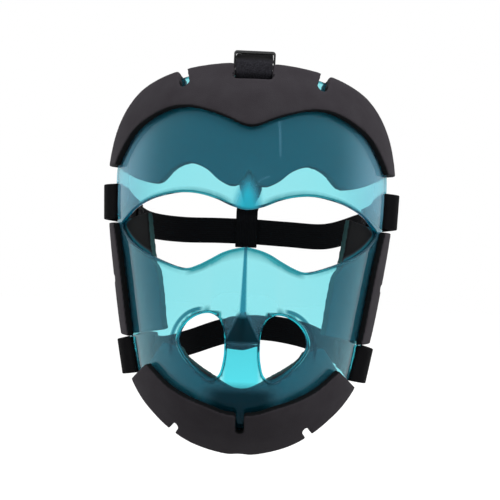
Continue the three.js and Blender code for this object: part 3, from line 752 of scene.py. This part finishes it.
def soft_foam(name, node, made, notches):
    """Cuts the notches, then rounds every cut edge a little, as foam does."""
    piece = cut(piece_of(name, made), [piece_of("notch", n) for n in notches])
    remesh = piece.modifiers.new("even", "REMESH")
    remesh.mode, remesh.voxel_size = "VOXEL", foam_voxel
    smooth = piece.modifiers.new("round", "SMOOTH")
    smooth.factor, smooth.iterations = 0.5, 6
    cut(piece, [])
    piece.data.shade_smooth()
    shade_foam(piece)
    piece.data.materials.clear()
    piece.data.materials.append(foam_skin)
    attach(piece, "mask")
    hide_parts(node)


foam_skin = material("foam_skin")
colour = ramp(noise(60, 5), (0.3, (0.034, 0.030, 0.035)), (0.75, (0.044, 0.040, 0.046)))
# Painted light and shade: teal light where the foam lies against the shell, grey-green light on the
# inner leaf's bare cut, near-black shade on the cut edges and in the eye opening
for mark, deep in (("painted_shell_light", (0.018, 0.13, 0.17)), ("inner_edge", (0.045, 0.11, 0.112)),
                   ("painted_foam_shade", (0.0025, 0.003, 0.0035))):
    colour = tinted(colour, added("Attribute", {}, "Fac", attribute_name=mark), deep)
fill(shader, {"Base Color": colour, "Roughness": 0.82, "Specular IOR Level": 0.15})
cells = added("TexVoronoi", {"Vector": on_object(), "Scale": 1800}, "Distance")
bumped(worked("ADD", cells, noise(700, 6)), 0.35, 0.0002)


def leaf_line(shares, both_sides=False):
    """The edge of a leaf on the wearer's left, or right round from right to left."""
    half = [place_of(s) for s in shares]
    return [mirrored(p) for p in half[:0:-1]] + half if both_sides else half


strap_share = strap_width / 2 / rim.length
end = upper_slot - strap_share - forehead_end_gap / rim.length
notch = notch_block(*forehead_notch)
soft_foam(
    "forehead_foam", "forehead_wrap",
    folded_foam(
        -end, end, leaf_line(forehead_outer_shares, True), leaf_line(forehead_inner_shares, True),
        forehead_rows,
    ),
    [mirror_image(notch), notch, notch_block(*crown_gap)],
)

cheek = folded_foam(
    upper_slot + strap_share + cheek_end_gap / rim.length,
    lower_slot - strap_share - cheek_end_gap / rim.length,
    leaf_line(cheek_outer_shares), leaf_line(cheek_inner_shares), cheek_rows,
)
notch = notch_block(*cheek_notch)
soft_foam("right_cheek_foam", "right_cheek_wrap", mirror_image(cheek), [mirror_image(notch)])
soft_foam("left_cheek_foam", "left_cheek_wrap", cheek, [notch])

start = lower_slot + strap_share + chin_end_gap / rim.length
notch = notch_block(*chin_notch)
slit_foot = height_of(chin_outer_shares[-1][1])
slit_length = chin_slit_depth + notch_overrun
slit_out = normal_at(0, slit_foot - chin_slit_depth / 2)
chin_slit = block_cutter(
    shell_point(0, slit_foot - chin_slit_depth + slit_length / 2, chin_slit_stand),
    Vector((1, 0, 0)), slit_out.cross(Vector((1, 0, 0))),
    chin_slit_width, slit_length, chin_slit_corner, chin_slit_cut,
)
soft_foam(
    "chin_foam", "chin_wrap",
    folded_foam(
        start, 1 - start,
        leaf_line(chin_outer_shares[::-1], True)[::-1],
        leaf_line(chin_inner_shares[::-1], True)[::-1],
        chin_rows,
    ),
    [mirror_image(notch), notch, chin_slit],
)

# Webbing straps
# Each is one 25 mm length of black pile webbing, sewn to an elastic band. It comes out
# through its slot, folds round the bar at the shell's edge and lies back over itself,
# where a hook patch under its free tail holds it to its own pile.
strap_thickness, strap_seat, bend_gap = 0.0018, 0.0003, 0.00045
fold_stand, leg_start = 0.008, 0.004
side_root_run, side_strap_run = 0.030, 0.070
crown_root_run, crown_strap_run = 0.029, 0.075
tail_length, patch_inset, patch_length = 0.034, 0.003, 0.028
patch_thickness, patch_margin = 0.0012, 0.0015
head_rear, nape_rear = 0.125, 0.117
upper_band_height, lower_band_drop = 0.018, 0.057
head_line_shares = [(0.985, 0.16), (0.965, 0.35), (0.87, 0.62), (0.62, 0.86), (0.3, 0.975)]
# The slack bands hang a little unevenly, one side against the other
side_drop_shares = {
    "left_upper": [0.12, 0.4, 0.7, 1.12, 1.07],
    "right_upper": [0.12, 0.43, 0.88, 1.03, 1],
    "left_lower": [0.03, 0.12, 0.3, 0.7, 0.93],
    "right_lower": [0.02, 0.03, -0.12, 0.16, 0.68],
}
side_fold_shares = [(0.42, 0.55), (-0.1, 0.88), (-0.65, 1), (-1.3, 0.93)]
crown_fold_shares = [(0.66, 0.62), (0.08, 0.92), (-0.42, 0.87)]

tail_stand = strap_thickness + patch_thickness + 2 * strap_seat
leg_stand = -(shell_wall / 2 + strap_seat + strap_thickness / 2)
head_up = Vector((0, 0, 1))
patch_steps, tail_steps, fold_count, leg_count, leg_crowding = 12, 24, 60, 40, 1.6
blend_before, blend_after = 0.002, 0.0025


def strap_line(at, rear_line, far_across, fold_shares, fold_end, root_run, strap_run):
    """The way one strap runs: its head line, and the line through the slot and back."""
    near = -at[2]
    line = smooth_line([over_edge(at, run, leg_stand) for run in (leg_start, leg_start / 2, 0)]
                       + rear_line, steps=40)
    total = line.length

    def place(run, stand):
        forward = direction_along(line, min(max(run / total, 0.0006), 0.9994))
        across = near.lerp(far_across, eased(run / strap_run))
        across = (across - forward * forward.dot(across)).normalized()
        outward = forward.cross(across).normalized()
        return line(run / total) + outward * stand, across

    slot = slot_frame(at)
    bar = slot_inset - slot_width / 2
    bend, half = strap_thickness / 2 + bend_gap, shell_wall / 2
    slant = bend * math.sqrt(0.5)
    through = [
        slot[0] + slot[3] * (run - slot_inset) + slot[1] * stand
        for run, stand in (
            (bar, -half - bend), (bar + slant, -half - slant), (bar + bend, -half),
            (bar + bend, half), (bar + slant, half + slant),
        )
    ]
    fold = [over_edge(at, run * fold_stand, stand * fold_stand) for run, stand in fold_shares]
    leg = [over_edge(at, run, leg_stand) for run in (leg_start / 2, leg_start)]
    lead = [place(root_run - strap_seat - back, tail_stand)[0] for back in (2 * strap_thickness, 0)]
    path = smooth_line(leg + through + fold + fold_end + lead, steps=30)
    bow = 0
    for side in (-1, 1):
        reach = at[0] + at[2] * side * strap_width / 2
        bow += (shell_point(reach.x, reach.z) - at[0]).dot(at[1]) / 2

    def sag_at(point):
        clear = ((point - at[0]).length - slot_inset) / strap_thickness
        return at[1] * bow * (1 - min(max(clear, 0), 1))

    return {"near": near, "place": place, "path": path, "total": total, "sag_at": sag_at,
            "in_slot": slot[0] + slot[3] * (bar + bend - slot_inset), "root_run": root_run,
            "strap_run": strap_run}


def ribbon(places, width, thickness, sag_at=None):
    """A woven ribbon with rounded edges along places, each a point and its width's way."""
    side_steps, edge_steps = 12, 6
    outline = []
    reach = (width - thickness) / 2
    for side in (1, -1):
        for k in range(edge_steps + 1):
            angle = math.pi * (k / edge_steps - 0.5)
            outline.append((side * (reach + thickness / 2 * math.cos(angle)),
                            side * thickness / 2 * math.sin(angle)))
        for k in range(1, side_steps):
            outline.append((side * reach * (1 - 2 * k / side_steps), side * thickness / 2))
    loop = len(outline)
    runs = [0.0]
    for (p, _), (q, _) in zip(places, places[1:]):
        runs.append(runs[-1] + (q - p).length)
    frames = []
    for i, (point, across) in enumerate(places):
        forward = places[min(i + 1, len(places) - 1)][0] - places[max(i - 1, 0)][0]
        forward.normalize()
        square = (across - forward * forward.dot(across)).normalized()
        sag = sag_at(point) if sag_at else Vector()
        frames.append((point, square, forward.cross(square), sag))

    def corner(i, k):
        point, square, face, sag = frames[i]
        x, y = outline[k % loop]
        return point + square * x + face * y + sag * (2 * x / width) ** 2

    return closed_up(formed(
        len(places) - 1, loop, corner, uv=lambda i, k: (outline[k % loop][0], runs[i])
    ))


def even_places(place, start, end, stand, count, ease=1):
    return [place(start + (end - start) * (k / count) ** ease, stand) for k in range(count + 1)]


def side_line(share, rear, rear_height, drop_shares):
    """The line of a strap on the wearer's left; the right one is its mirror image."""
    at = rim_frame(share)
    leg = over_edge(at, 0, leg_stand)
    rear_line = [
        Vector((w * leg.x, leg.y + d * (rear - leg.y), leg.z + drop * (rear_height - leg.z)))
        for (w, d), drop in zip(head_line_shares, drop_shares)
    ]
    rear_line.append(Vector((0, rear, rear_height)))
    return strap_line(at, rear_line, head_up, side_fold_shares, [], side_root_run, side_strap_run)


def bands(way, scale, distortion, detail_scale=1):
    """Fine ridges across or along a ribbon, in the places that its cloth map gives."""
    return added("TexWave", {
        "Vector": added("UVMap", {}, "UV"), "Scale": scale, "Distortion": distortion,
        "Detail Scale": detail_scale,
    }, "Fac", bands_direction=way)


def mixed(share, a, b):
    return added("Mix", {"Factor": share, "A": a, "B": b}, "Result")


def woven(name, base, pile):
    """Fine black webbing: its threads follow the ribbon's length, with a short pile on it."""
    made = material(name)
    weave = times(bands("X", 480, 1.2, 3), bands("Y", 420, 1.2))
    relief = mixed(pile, weave, noise(1100, 4))
    bumped(relief, 0.8, 0.00035)
    dark, light = ([c * share for c in base] for share in (0.55, 1.8))
    fill(shader, {"Base Color": ramp(relief, (0.35, dark), (0.75, light)),
                  "Roughness": 0.85, "Specular IOR Level": 0.08})
    return made


side_webbing = woven("side_webbing", (0.0055, 0.0055, 0.0065), 0.35)
crown_webbing = woven("crown_webbing", (0.026, 0.0255, 0.031), 0.8)
# Painted shade: the crown strap is darkened where it lies deep under the bar of its keeper
crown_at = rim_frame(0)
crown_top = crown_at[0]
place_on = parts(on_object())
painted_bar_shade = times(between(place_on["Z"], crown_top.z + 0.0046, crown_top.z + 0.0082),
                  between(place_on["Y"], crown_top.y + 0.015, crown_top.y + 0.009))
pile_colour = shader.inputs["Base Color"].links[0].from_socket
fill(shader, {"Base Color": tinted(pile_colour, painted_bar_shade, (0.001, 0.001, 0.0012))})


def handed(prefix, made):
    """The bmesh on its own side: what is made for the wearer's left serves both."""
    return mirror_image(made) if prefix.startswith("right") else made


def strap_pieces(prefix, run, webbing):
    """The leg on the head line, in to the slot, and the fold with the free tail."""
    place, path, root_run = run["place"], run["path"], run["root_run"]
    lead_in = leg_start / 2 / path.length
    across_root = place(root_run, tail_stand)[1]
    folded = []
    for k in range(1, fold_count):
        across = run["near"].lerp(across_root, max(2 * k / fold_count - 1, 0))
        folded.append((path(lead_in + (1 - lead_in) * k / fold_count), across))
    split = min(range(len(folded)), key=lambda k: (folded[k][0] - run["in_slot"]).length)
    leg = even_places(place, 0, run["strap_run"], 0, leg_count, leg_crowding)[::-1]
    leg += folded[:split + 1]
    free = folded[split:] + even_places(
        place, root_run, root_run + tail_length, tail_stand, tail_steps
    )
    start, end = (
        place(root_run + way, tail_stand)[0] for way in (-blend_before, blend_after)
    )
    if prefix.startswith("right"):
        start, end = mirrored(start), mirrored(end)
    leg_piece, tail_piece = (
        piece_of(prefix + part, handed(prefix, ribbon(
            places, strap_width, strap_thickness, run["sag_at"]
        )))
        for part, places in (("_leg_webbing", leg), ("_tail_webbing", free))
    )
    for piece in (leg_piece, tail_piece):
        piece.data.materials.append(webbing)
    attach(leg_piece, "mask")
    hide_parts(prefix + "_strap")
    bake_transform(tail_piece)
    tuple(start)
    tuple(end)
    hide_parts(prefix + "_tail")


strap_runs = {}
for prefix, drop_shares in side_drop_shares.items():
    strap_runs[prefix] = (
        side_line(upper_slot, head_rear, upper_band_height, drop_shares)
        if prefix.endswith("upper")
        else side_line(lower_slot, nape_rear, -lower_band_drop, drop_shares)
    )
    strap_pieces(prefix, strap_runs[prefix], side_webbing)

# The crown strap rises to its keeper, runs level through it and drops down the head
crown_lift, keeper_set_back, crown_level_run = 0.0052, 0.010, 0.016
crown_rise_shares = [(0.33, 0.35), (0.62, 0.88), (1, 1)]
crown_line_shares = [(0.36, -0.05), (0.52, -0.01), (0.72, 0.23), (0.89, 0.59), (0.965, 0.8)]
crown_sway = -0.0055
# The folded layer fills the keeper over the way that the keeper slides
crown_arch = [(0.002, 0), (0.0065, 0.0019), (0.012, 0.0024), (0.018, 0.0019)]
band_width, band_thickness, stitch_overlap = 0.020, 0.0015, 0.014
crown_band_width, crown_band_thickness = 0.017, 0.0012
loop_slack, loop_turn_up = 0.0005, 0.008
band_inset = (strap_thickness + band_thickness) / 2 + strap_seat
upper_line = strap_runs["left_upper"]
band_rear = upper_line["place"](upper_line["total"], -band_inset)[0].y
loop_reach = (band_thickness + crown_band_thickness) / 2 + strap_seat + loop_slack
loop_outer, loop_inner = band_rear + loop_reach, band_rear - loop_reach
line_rear, line_top = loop_outer + band_inset, crown_top.z + crown_lift
loop_top = upper_band_height + band_width / 2 + loop_turn_up


def crown_point(ahead, rise):
    return Vector((0, crown_top.y + ahead, crown_top.z + rise))


def swayed(y, z):
    return Vector((crown_sway, y, z))


crown_line = strap_line(
    crown_at,
    [crown_point(run * keeper_set_back, rise * crown_lift) for run, rise in crown_rise_shares]
    + [crown_point(keeper_set_back + crown_level_run, crown_lift)]
    + [
        Vector((crown_sway * drop, crown_top.y + depth * (line_rear - crown_top.y),
                line_top - drop * (line_top - upper_band_height)))
        for depth, drop in crown_line_shares
    ]
    + [swayed(line_rear, loop_top), swayed(line_rear, upper_band_height)],
    -crown_at[2],
    crown_fold_shares,
    [crown_point(ahead, crown_lift + tail_stand + rise) for ahead, rise in crown_arch],
    crown_root_run,
    crown_strap_run,
)
strap_runs["crown"] = crown_line
strap_pieces("crown", crown_line, crown_webbing)

# Hook patches
# A 22 mm pad of hook tape is sewn under each free tail. Its rows of small headed hooks
# face the pile of the strap and hold the tail down until it is peeled.
hook_base, hook_gap, hook_rise = 0.0006, 0.00005, 0.0009
hook_pitch, hook_stem, hook_head = 0.0015, 0.00017, 0.0003

hook_plastic = material("hook_plastic")
flecks = noise(900)
bumped(flecks, 0.4, 0.0001)
fill(shader, {"Base Color": ramp(flecks, (0, (0.008, 0.008, 0.009)), (1, (0.022, 0.022, 0.024))),
              "Roughness": 0.45})


def hook_patch(run):
    """The pad along the tail, with rows of hooks on its inner face."""
    place, start = run["place"], run["root_run"] + patch_inset
    width = strap_width - 2 * patch_margin
    stand = tail_stand - strap_thickness / 2 - hook_gap - hook_base / 2
    places = even_places(place, start, start + patch_length, stand, patch_steps)
    made = ribbon(places, width, hook_base)
    across_count, along_count = (round(reach / hook_pitch) for reach in (width, patch_length))
    for i in range(1, along_count):
        along = start + i * patch_length / along_count
        foot, across = place(along, stand)
        outward = (place(along, stand + hook_base)[0] - foot).normalized()
        turn = Matrix((across, across.cross(-outward), -outward)).transposed().to_4x4()
        for k in range(1, across_count):
            stem = foot + across * (k / across_count - 0.5) * width - outward * hook_rise / 2
            for point, sides, radius, depth in (
                (stem, 5, hook_stem, hook_rise),
                (stem - outward * hook_rise / 2, 6, hook_head, hook_stem),
            ):
                bmesh.ops.create_cone(
                    made, cap_ends=True, segments=sides, radius1=radius, radius2=hook_stem,
                    depth=depth, matrix=Matrix.Translation(point) @ turn,
                )
    return made


for prefix, run in strap_runs.items():
    piece = piece_of(prefix + "_hook_tape", handed(prefix, hook_patch(run)))
    piece.data.materials.append(hook_plastic)
    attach(piece, prefix + "_end")
    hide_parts(prefix + "_hook_patch")

# Elastic bands
# Ribbed black elastic: one 20 mm band round the back of the head, one round the nape, and
# a 17 mm band from the crown strap that loops round the upper band and is sewn to itself.
sewn_gap = 0.00005
side_count, crown_count, loop_count, rise_count = 60, 90, 12, 16
rise_inset, rise_bulge, rise_share = 0.001, 0.0006, 0.55


def woven_elastic(name, rib_width):
    """Elastic's knitted face: ribs along its length crossed by a fine regular stitch."""
    made = material(name)
    scale = 0.314 / rib_width
    relief = mixed(0.35, bands("X", scale, 0.3), bands("Y", scale * 1.7, 0.5))
    bumped(relief, 0.7, 0.0003)
    colour = ramp(relief, (0, (0.0012, 0.0014, 0.0018)), (1, (0.0045, 0.005, 0.006)))
    fill(shader, {"Base Color": colour, "Roughness": 0.75, "Specular IOR Level": 0.05})
    return made


ribbed_elastic = woven_elastic("ribbed_elastic", 0.0016)
narrow_elastic = woven_elastic("narrow_elastic", 0.0013)


def sewn_places(run, thickness, count):
    """Places of a band from under the end of its strap to the back of the head."""
    close = (strap_thickness + thickness) / 2 + sewn_gap
    start = run["strap_run"] - stitch_overlap
    places = []
    for k in range(count + 1):
        along = start + (run["total"] - start) * k / count
        away = min(max((along - run["strap_run"]) / stitch_overlap, 0), 1)
        places.append(run["place"](along, -close - away * (strap_seat - sewn_gap)))
    return places


for level in ("upper", "lower"):
    left, right = (
        sewn_places(strap_runs[hand + level], band_thickness, side_count)
        for hand in ("left_", "right_")
    )
    places = left[:-1] + [(mirrored(p), mirrored(across)) for p, across in right[-2::-1]]
    piece = piece_of(level + "_elastic", ribbon(places, band_width, band_thickness))
    piece.data.materials.append(ribbed_elastic)
    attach(piece, "mask")
    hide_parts(level + "_band")

low_edge = upper_band_height - band_width / 2
loop_middle, loop_radius = (loop_outer + loop_inner) / 2, (loop_outer - loop_inner) / 2
loop = [
    swayed(loop_middle + loop_radius * math.cos(a), low_edge - loop_radius * math.sin(a))
    for a in (math.pi * k / loop_count for k in range(loop_count + 1))
]
closing = loop_outer - crown_band_thickness - sewn_gap
rise = smooth_line([
    loop[-1], swayed(loop_inner, upper_band_height),
    swayed(loop_inner, upper_band_height + band_width / 2 - rise_inset),
    swayed(closing - rise_bulge, loop_top - loop_turn_up * rise_share), swayed(closing, loop_top),
])
loop += [rise(k / rise_count) for k in range(1, rise_count + 1)]
crown_elastic = piece_of("crown_elastic", ribbon(
    sewn_places(crown_line, crown_band_thickness, crown_count)
    + [(p, -crown_at[2]) for p in loop],
    crown_band_width, crown_band_thickness,
))
crown_elastic.data.materials.append(narrow_elastic)
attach(crown_elastic, "mask")
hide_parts("crown_band")

# Sewing
# Each band is sewn to its strap with a crossed box of heavy thread, the end of the crown
# band to itself with two rows, and each hook patch to its tail with a row round its edge.
stitch_length, stitch_step, thread_radius = 0.0021, 0.0028, 0.00021
seam_inset, band_seam, patch_seam, loop_rows = 0.002, 0.0025, 0.0015, (0.0045, 0.002)

thread = material("sewing_thread")
bumped(added("TexWave", {"Vector": on_object(), "Scale": 700}, "Fac",
             bands_direction="DIAGONAL"), 0.5, 0.0001)
fill(shader, {"Base Color": (0.028, 0.027, 0.031), "Roughness": 0.5})


def seam(made, place, stand, corners):
    """Adds stitches on a cloth face, along lines between corners, each a run and a side."""
    for (run_a, side_a), (run_b, side_b) in zip(corners, corners[1:]):
        count = max(round(math.hypot(run_b - run_a, side_b - side_a) / stitch_step), 1)
        for k in range(count):
            ends = []
            for share in ((k + 0.5) / count - 0.001, (k + 0.5) / count + 0.001):
                point, across = place(run_a + (run_b - run_a) * share, stand)
                ends.append(point + across * (side_a + (side_b - side_a) * share))
            along = (ends[1] - ends[0]).normalized()
            turn = along.to_track_quat("X", "Z").to_matrix().to_4x4()
            size = Matrix.Diagonal((stitch_length / 2, thread_radius, thread_radius, 1))
            bmesh.ops.create_uvsphere(
                made, u_segments=8, v_segments=6, radius=1,
                matrix=Matrix.Translation(ends[0].lerp(ends[1], 0.5)) @ turn @ size,
            )


def crossed_box(start, end, half):
    return [(start, -half), (end, -half), (end, half), (start, half), (start, -half),
            (end, half), (end, -half), (start, half)]


def sew(name, body, made):
    piece = piece_of(name, made, 180)
    piece.data.materials.append(thread)
    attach(piece, body)


for prefix, run in strap_runs.items():
    width, thickness = (
        (crown_band_width, crown_band_thickness) if prefix == "crown"
        else (band_width, band_thickness)
    )
    end = run["strap_run"] - seam_inset
    start = end - stitch_overlap + 2 * seam_inset
    box = crossed_box(start, end, width / 2 - band_seam)
    made = bmesh.new()
    for stand in (strap_thickness / 2, -strap_thickness / 2 - sewn_gap - thickness):
        seam(made, run["place"], stand, box)
    sew(prefix + "_sewing", "mask", handed(prefix, made))
    side = strap_width / 2 - patch_margin - patch_seam
    first = run["root_run"] + patch_inset + patch_seam
    last = first + patch_length - 2 * patch_seam
    made = bmesh.new()
    seam(made, run["place"], tail_stand + strap_thickness / 2, [
        (first, -side), (last, -side), (last, side), (first, side), (first, -side)
    ])
    sew(prefix + "_tail_sewing", prefix + "_end", handed(prefix, made))


half = crown_band_width / 2 - seam_inset
low_row, high_row = (loop_top - down for down in loop_rows)
closed_rows = [(low_row, -half), (low_row, half), (high_row, half), (high_row, -half)]
made = bmesh.new()
for stand in (closing - crown_band_thickness / 2, loop_outer + crown_band_thickness / 2):
    seam(made, lambda run, y: (swayed(y, run), -crown_at[2]), stand, closed_rows)
sew("loop_sewing", "mask", made)

# Keeper
# A black plastic ring that slides along the two layers of the crown strap. It leans a
# little to one side, with a gap left under its top bar.
keeper_bar, keeper_side_bar, keeper_length, keeper_room = 0.0022, 0.0014, 0.003, 0.0079
keeper_lean, keeper_bevel, keeper_lift, keeper_cut = math.radians(0.6), 0.0006, 0.0003, 0.02
keeper_crease, bevel_crease = 35, 50
ring_width = strap_width + 2 * strap_seat
keeper_centre = crown_point(
    keeper_set_back,
    crown_lift - strap_thickness / 2 - strap_seat + keeper_room / 2 + keeper_lift,
)
lean = Matrix.Rotation(keeper_lean, 3, "Y")
ring_right, ring_up = lean @ Vector((1, 0, 0)), lean @ Vector((0, 0, 1))
keeper_ring = cut(
    piece_of("keeper_ring", block_cutter(
        keeper_centre, ring_right, ring_up, ring_width + 2 * keeper_side_bar,
        keeper_room + 2 * keeper_bar, keeper_bar, keeper_length,
    )),
    [piece_of("hole", block_cutter(
        keeper_centre, ring_right, ring_up, ring_width, keeper_room, 2 * strap_seat, keeper_cut
    ))],
)
bevel = keeper_ring.modifiers.new("bevel", "BEVEL")
bevel.width, bevel.segments = keeper_bevel, 4
bevel.limit_method, bevel.angle_limit = "ANGLE", math.radians(bevel_crease)
cut(keeper_ring, [])
keeper_ring.data.shade_smooth()
keeper_ring.data.set_sharp_from_angle(angle=math.radians(keeper_crease))
moulded_black = material("moulded_black")
skin = noise(900, 3)
bumped(skin, 0.15, 0.0001)
fill(shader, {"Base Color": (0.044, 0.046, 0.046), "Specular IOR Level": 0.3,
              "Roughness": ranged(skin, 0, 1, 0.28, 0.42)})
keeper_ring.data.materials.clear()
keeper_ring.data.materials.append(moulded_black)
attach(keeper_ring, "keeper")
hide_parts("crown_keeper")

# Lights, floor and white surroundings
# The mask hangs in a white studio above a pale floor, under a large lamp to the right in
# front and weaker ones to the left, overhead and behind. A narrow one draws a streak on
# the shell.
floor_drop, floor_size, glow_reach = 0.27, 12.0, 2.5
floor_glow = [(0, 0.55), (0.13, 0.66), (0.23, 0.8), (0.5, 0.87), (1, 0.965)]
world_light = 0.15


def seen():
    """1 for rays of the camera, of gloss and through the clear shell, else 0."""
    ray = nodes.new("ShaderNodeLightPath").outputs
    through = worked("MAXIMUM", ray["Is Glossy Ray"], ray["Is Transmission Ray"])
    return worked("MAXIMUM", ray["Is Camera Ray"], through)


floor_made = bmesh.new()
bmesh.ops.create_grid(
    floor_made, x_segments=1, y_segments=1, size=floor_size / 2,
    matrix=Matrix.Translation((0, 0, -floor_drop)),
)
floor = piece_of("studio_floor", floor_made)
pale_floor = material("pale_floor")
away = added("VectorMath", {0: on_object()}, "Value", operation="LENGTH")
glow = ramp(worked("DIVIDE", away, glow_reach), *((at, [level] * 3) for at, level in floor_glow))
fill(shader, {
    "Base Color": ramp(noise(40), (0, [0.29] * 3), (1, [0.32] * 3)), "Roughness": 0.9,
    "Specular IOR Level": 0, "Emission Color": (1, 1, 1), "Emission Strength": times(glow, seen()),
})
floor.data.materials.append(pale_floor)

for name, place, size, power in (
    ("key_light", (1.3, -1.1, 1.3), (1.6, 1.6), 34.0),
    ("fill_light", (-1.5, -0.9, 1.3), (1.4, 1.4), 6.0),
    ("left_light", (-1.8, -0.4, 0.9), (1.0, 1.0), 14.0),
    ("top_light", (0.0, -0.2, 1.5), (1.0, 1.0), 9.0),
    ("back_light", (0.5, 1.7, 0.9), (1.2, 1.2), 14.0),
    ("streak_light", (0.75, -1.4, 1.3), (0.07, 0.5), 0.3),
):
    lamp = bpy.data.lights.new(name, "AREA")
    lamp.shape = "RECTANGLE"
    lamp.size, lamp.size_y = size
    lamp.energy = power
    stand = bpy.data.objects.new(name, lamp)
    stand.visible_glossy = name == "streak_light"
    stand.visible_transmission = False
    stand.location = place
    stand.rotation_euler = (-Vector(place)).to_track_quat("-Z", "Y").to_euler()
    bpy.context.scene.collection.objects.link(stand)

white_room = bpy.data.worlds.new("white_room")
white_room.use_nodes = True
bpy.context.scene.world = white_room
nodes = white_room.node_tree.nodes
nodes.clear()
strength = ranged(seen(), 0, 1, world_light, 1)
background = added("Background", {"Color": (1, 1, 1), "Strength": strength})
fill(nodes.new("ShaderNodeOutputWorld"), {"Surface": background})

bpy.context.scene.view_settings.view_transform = "Standard"
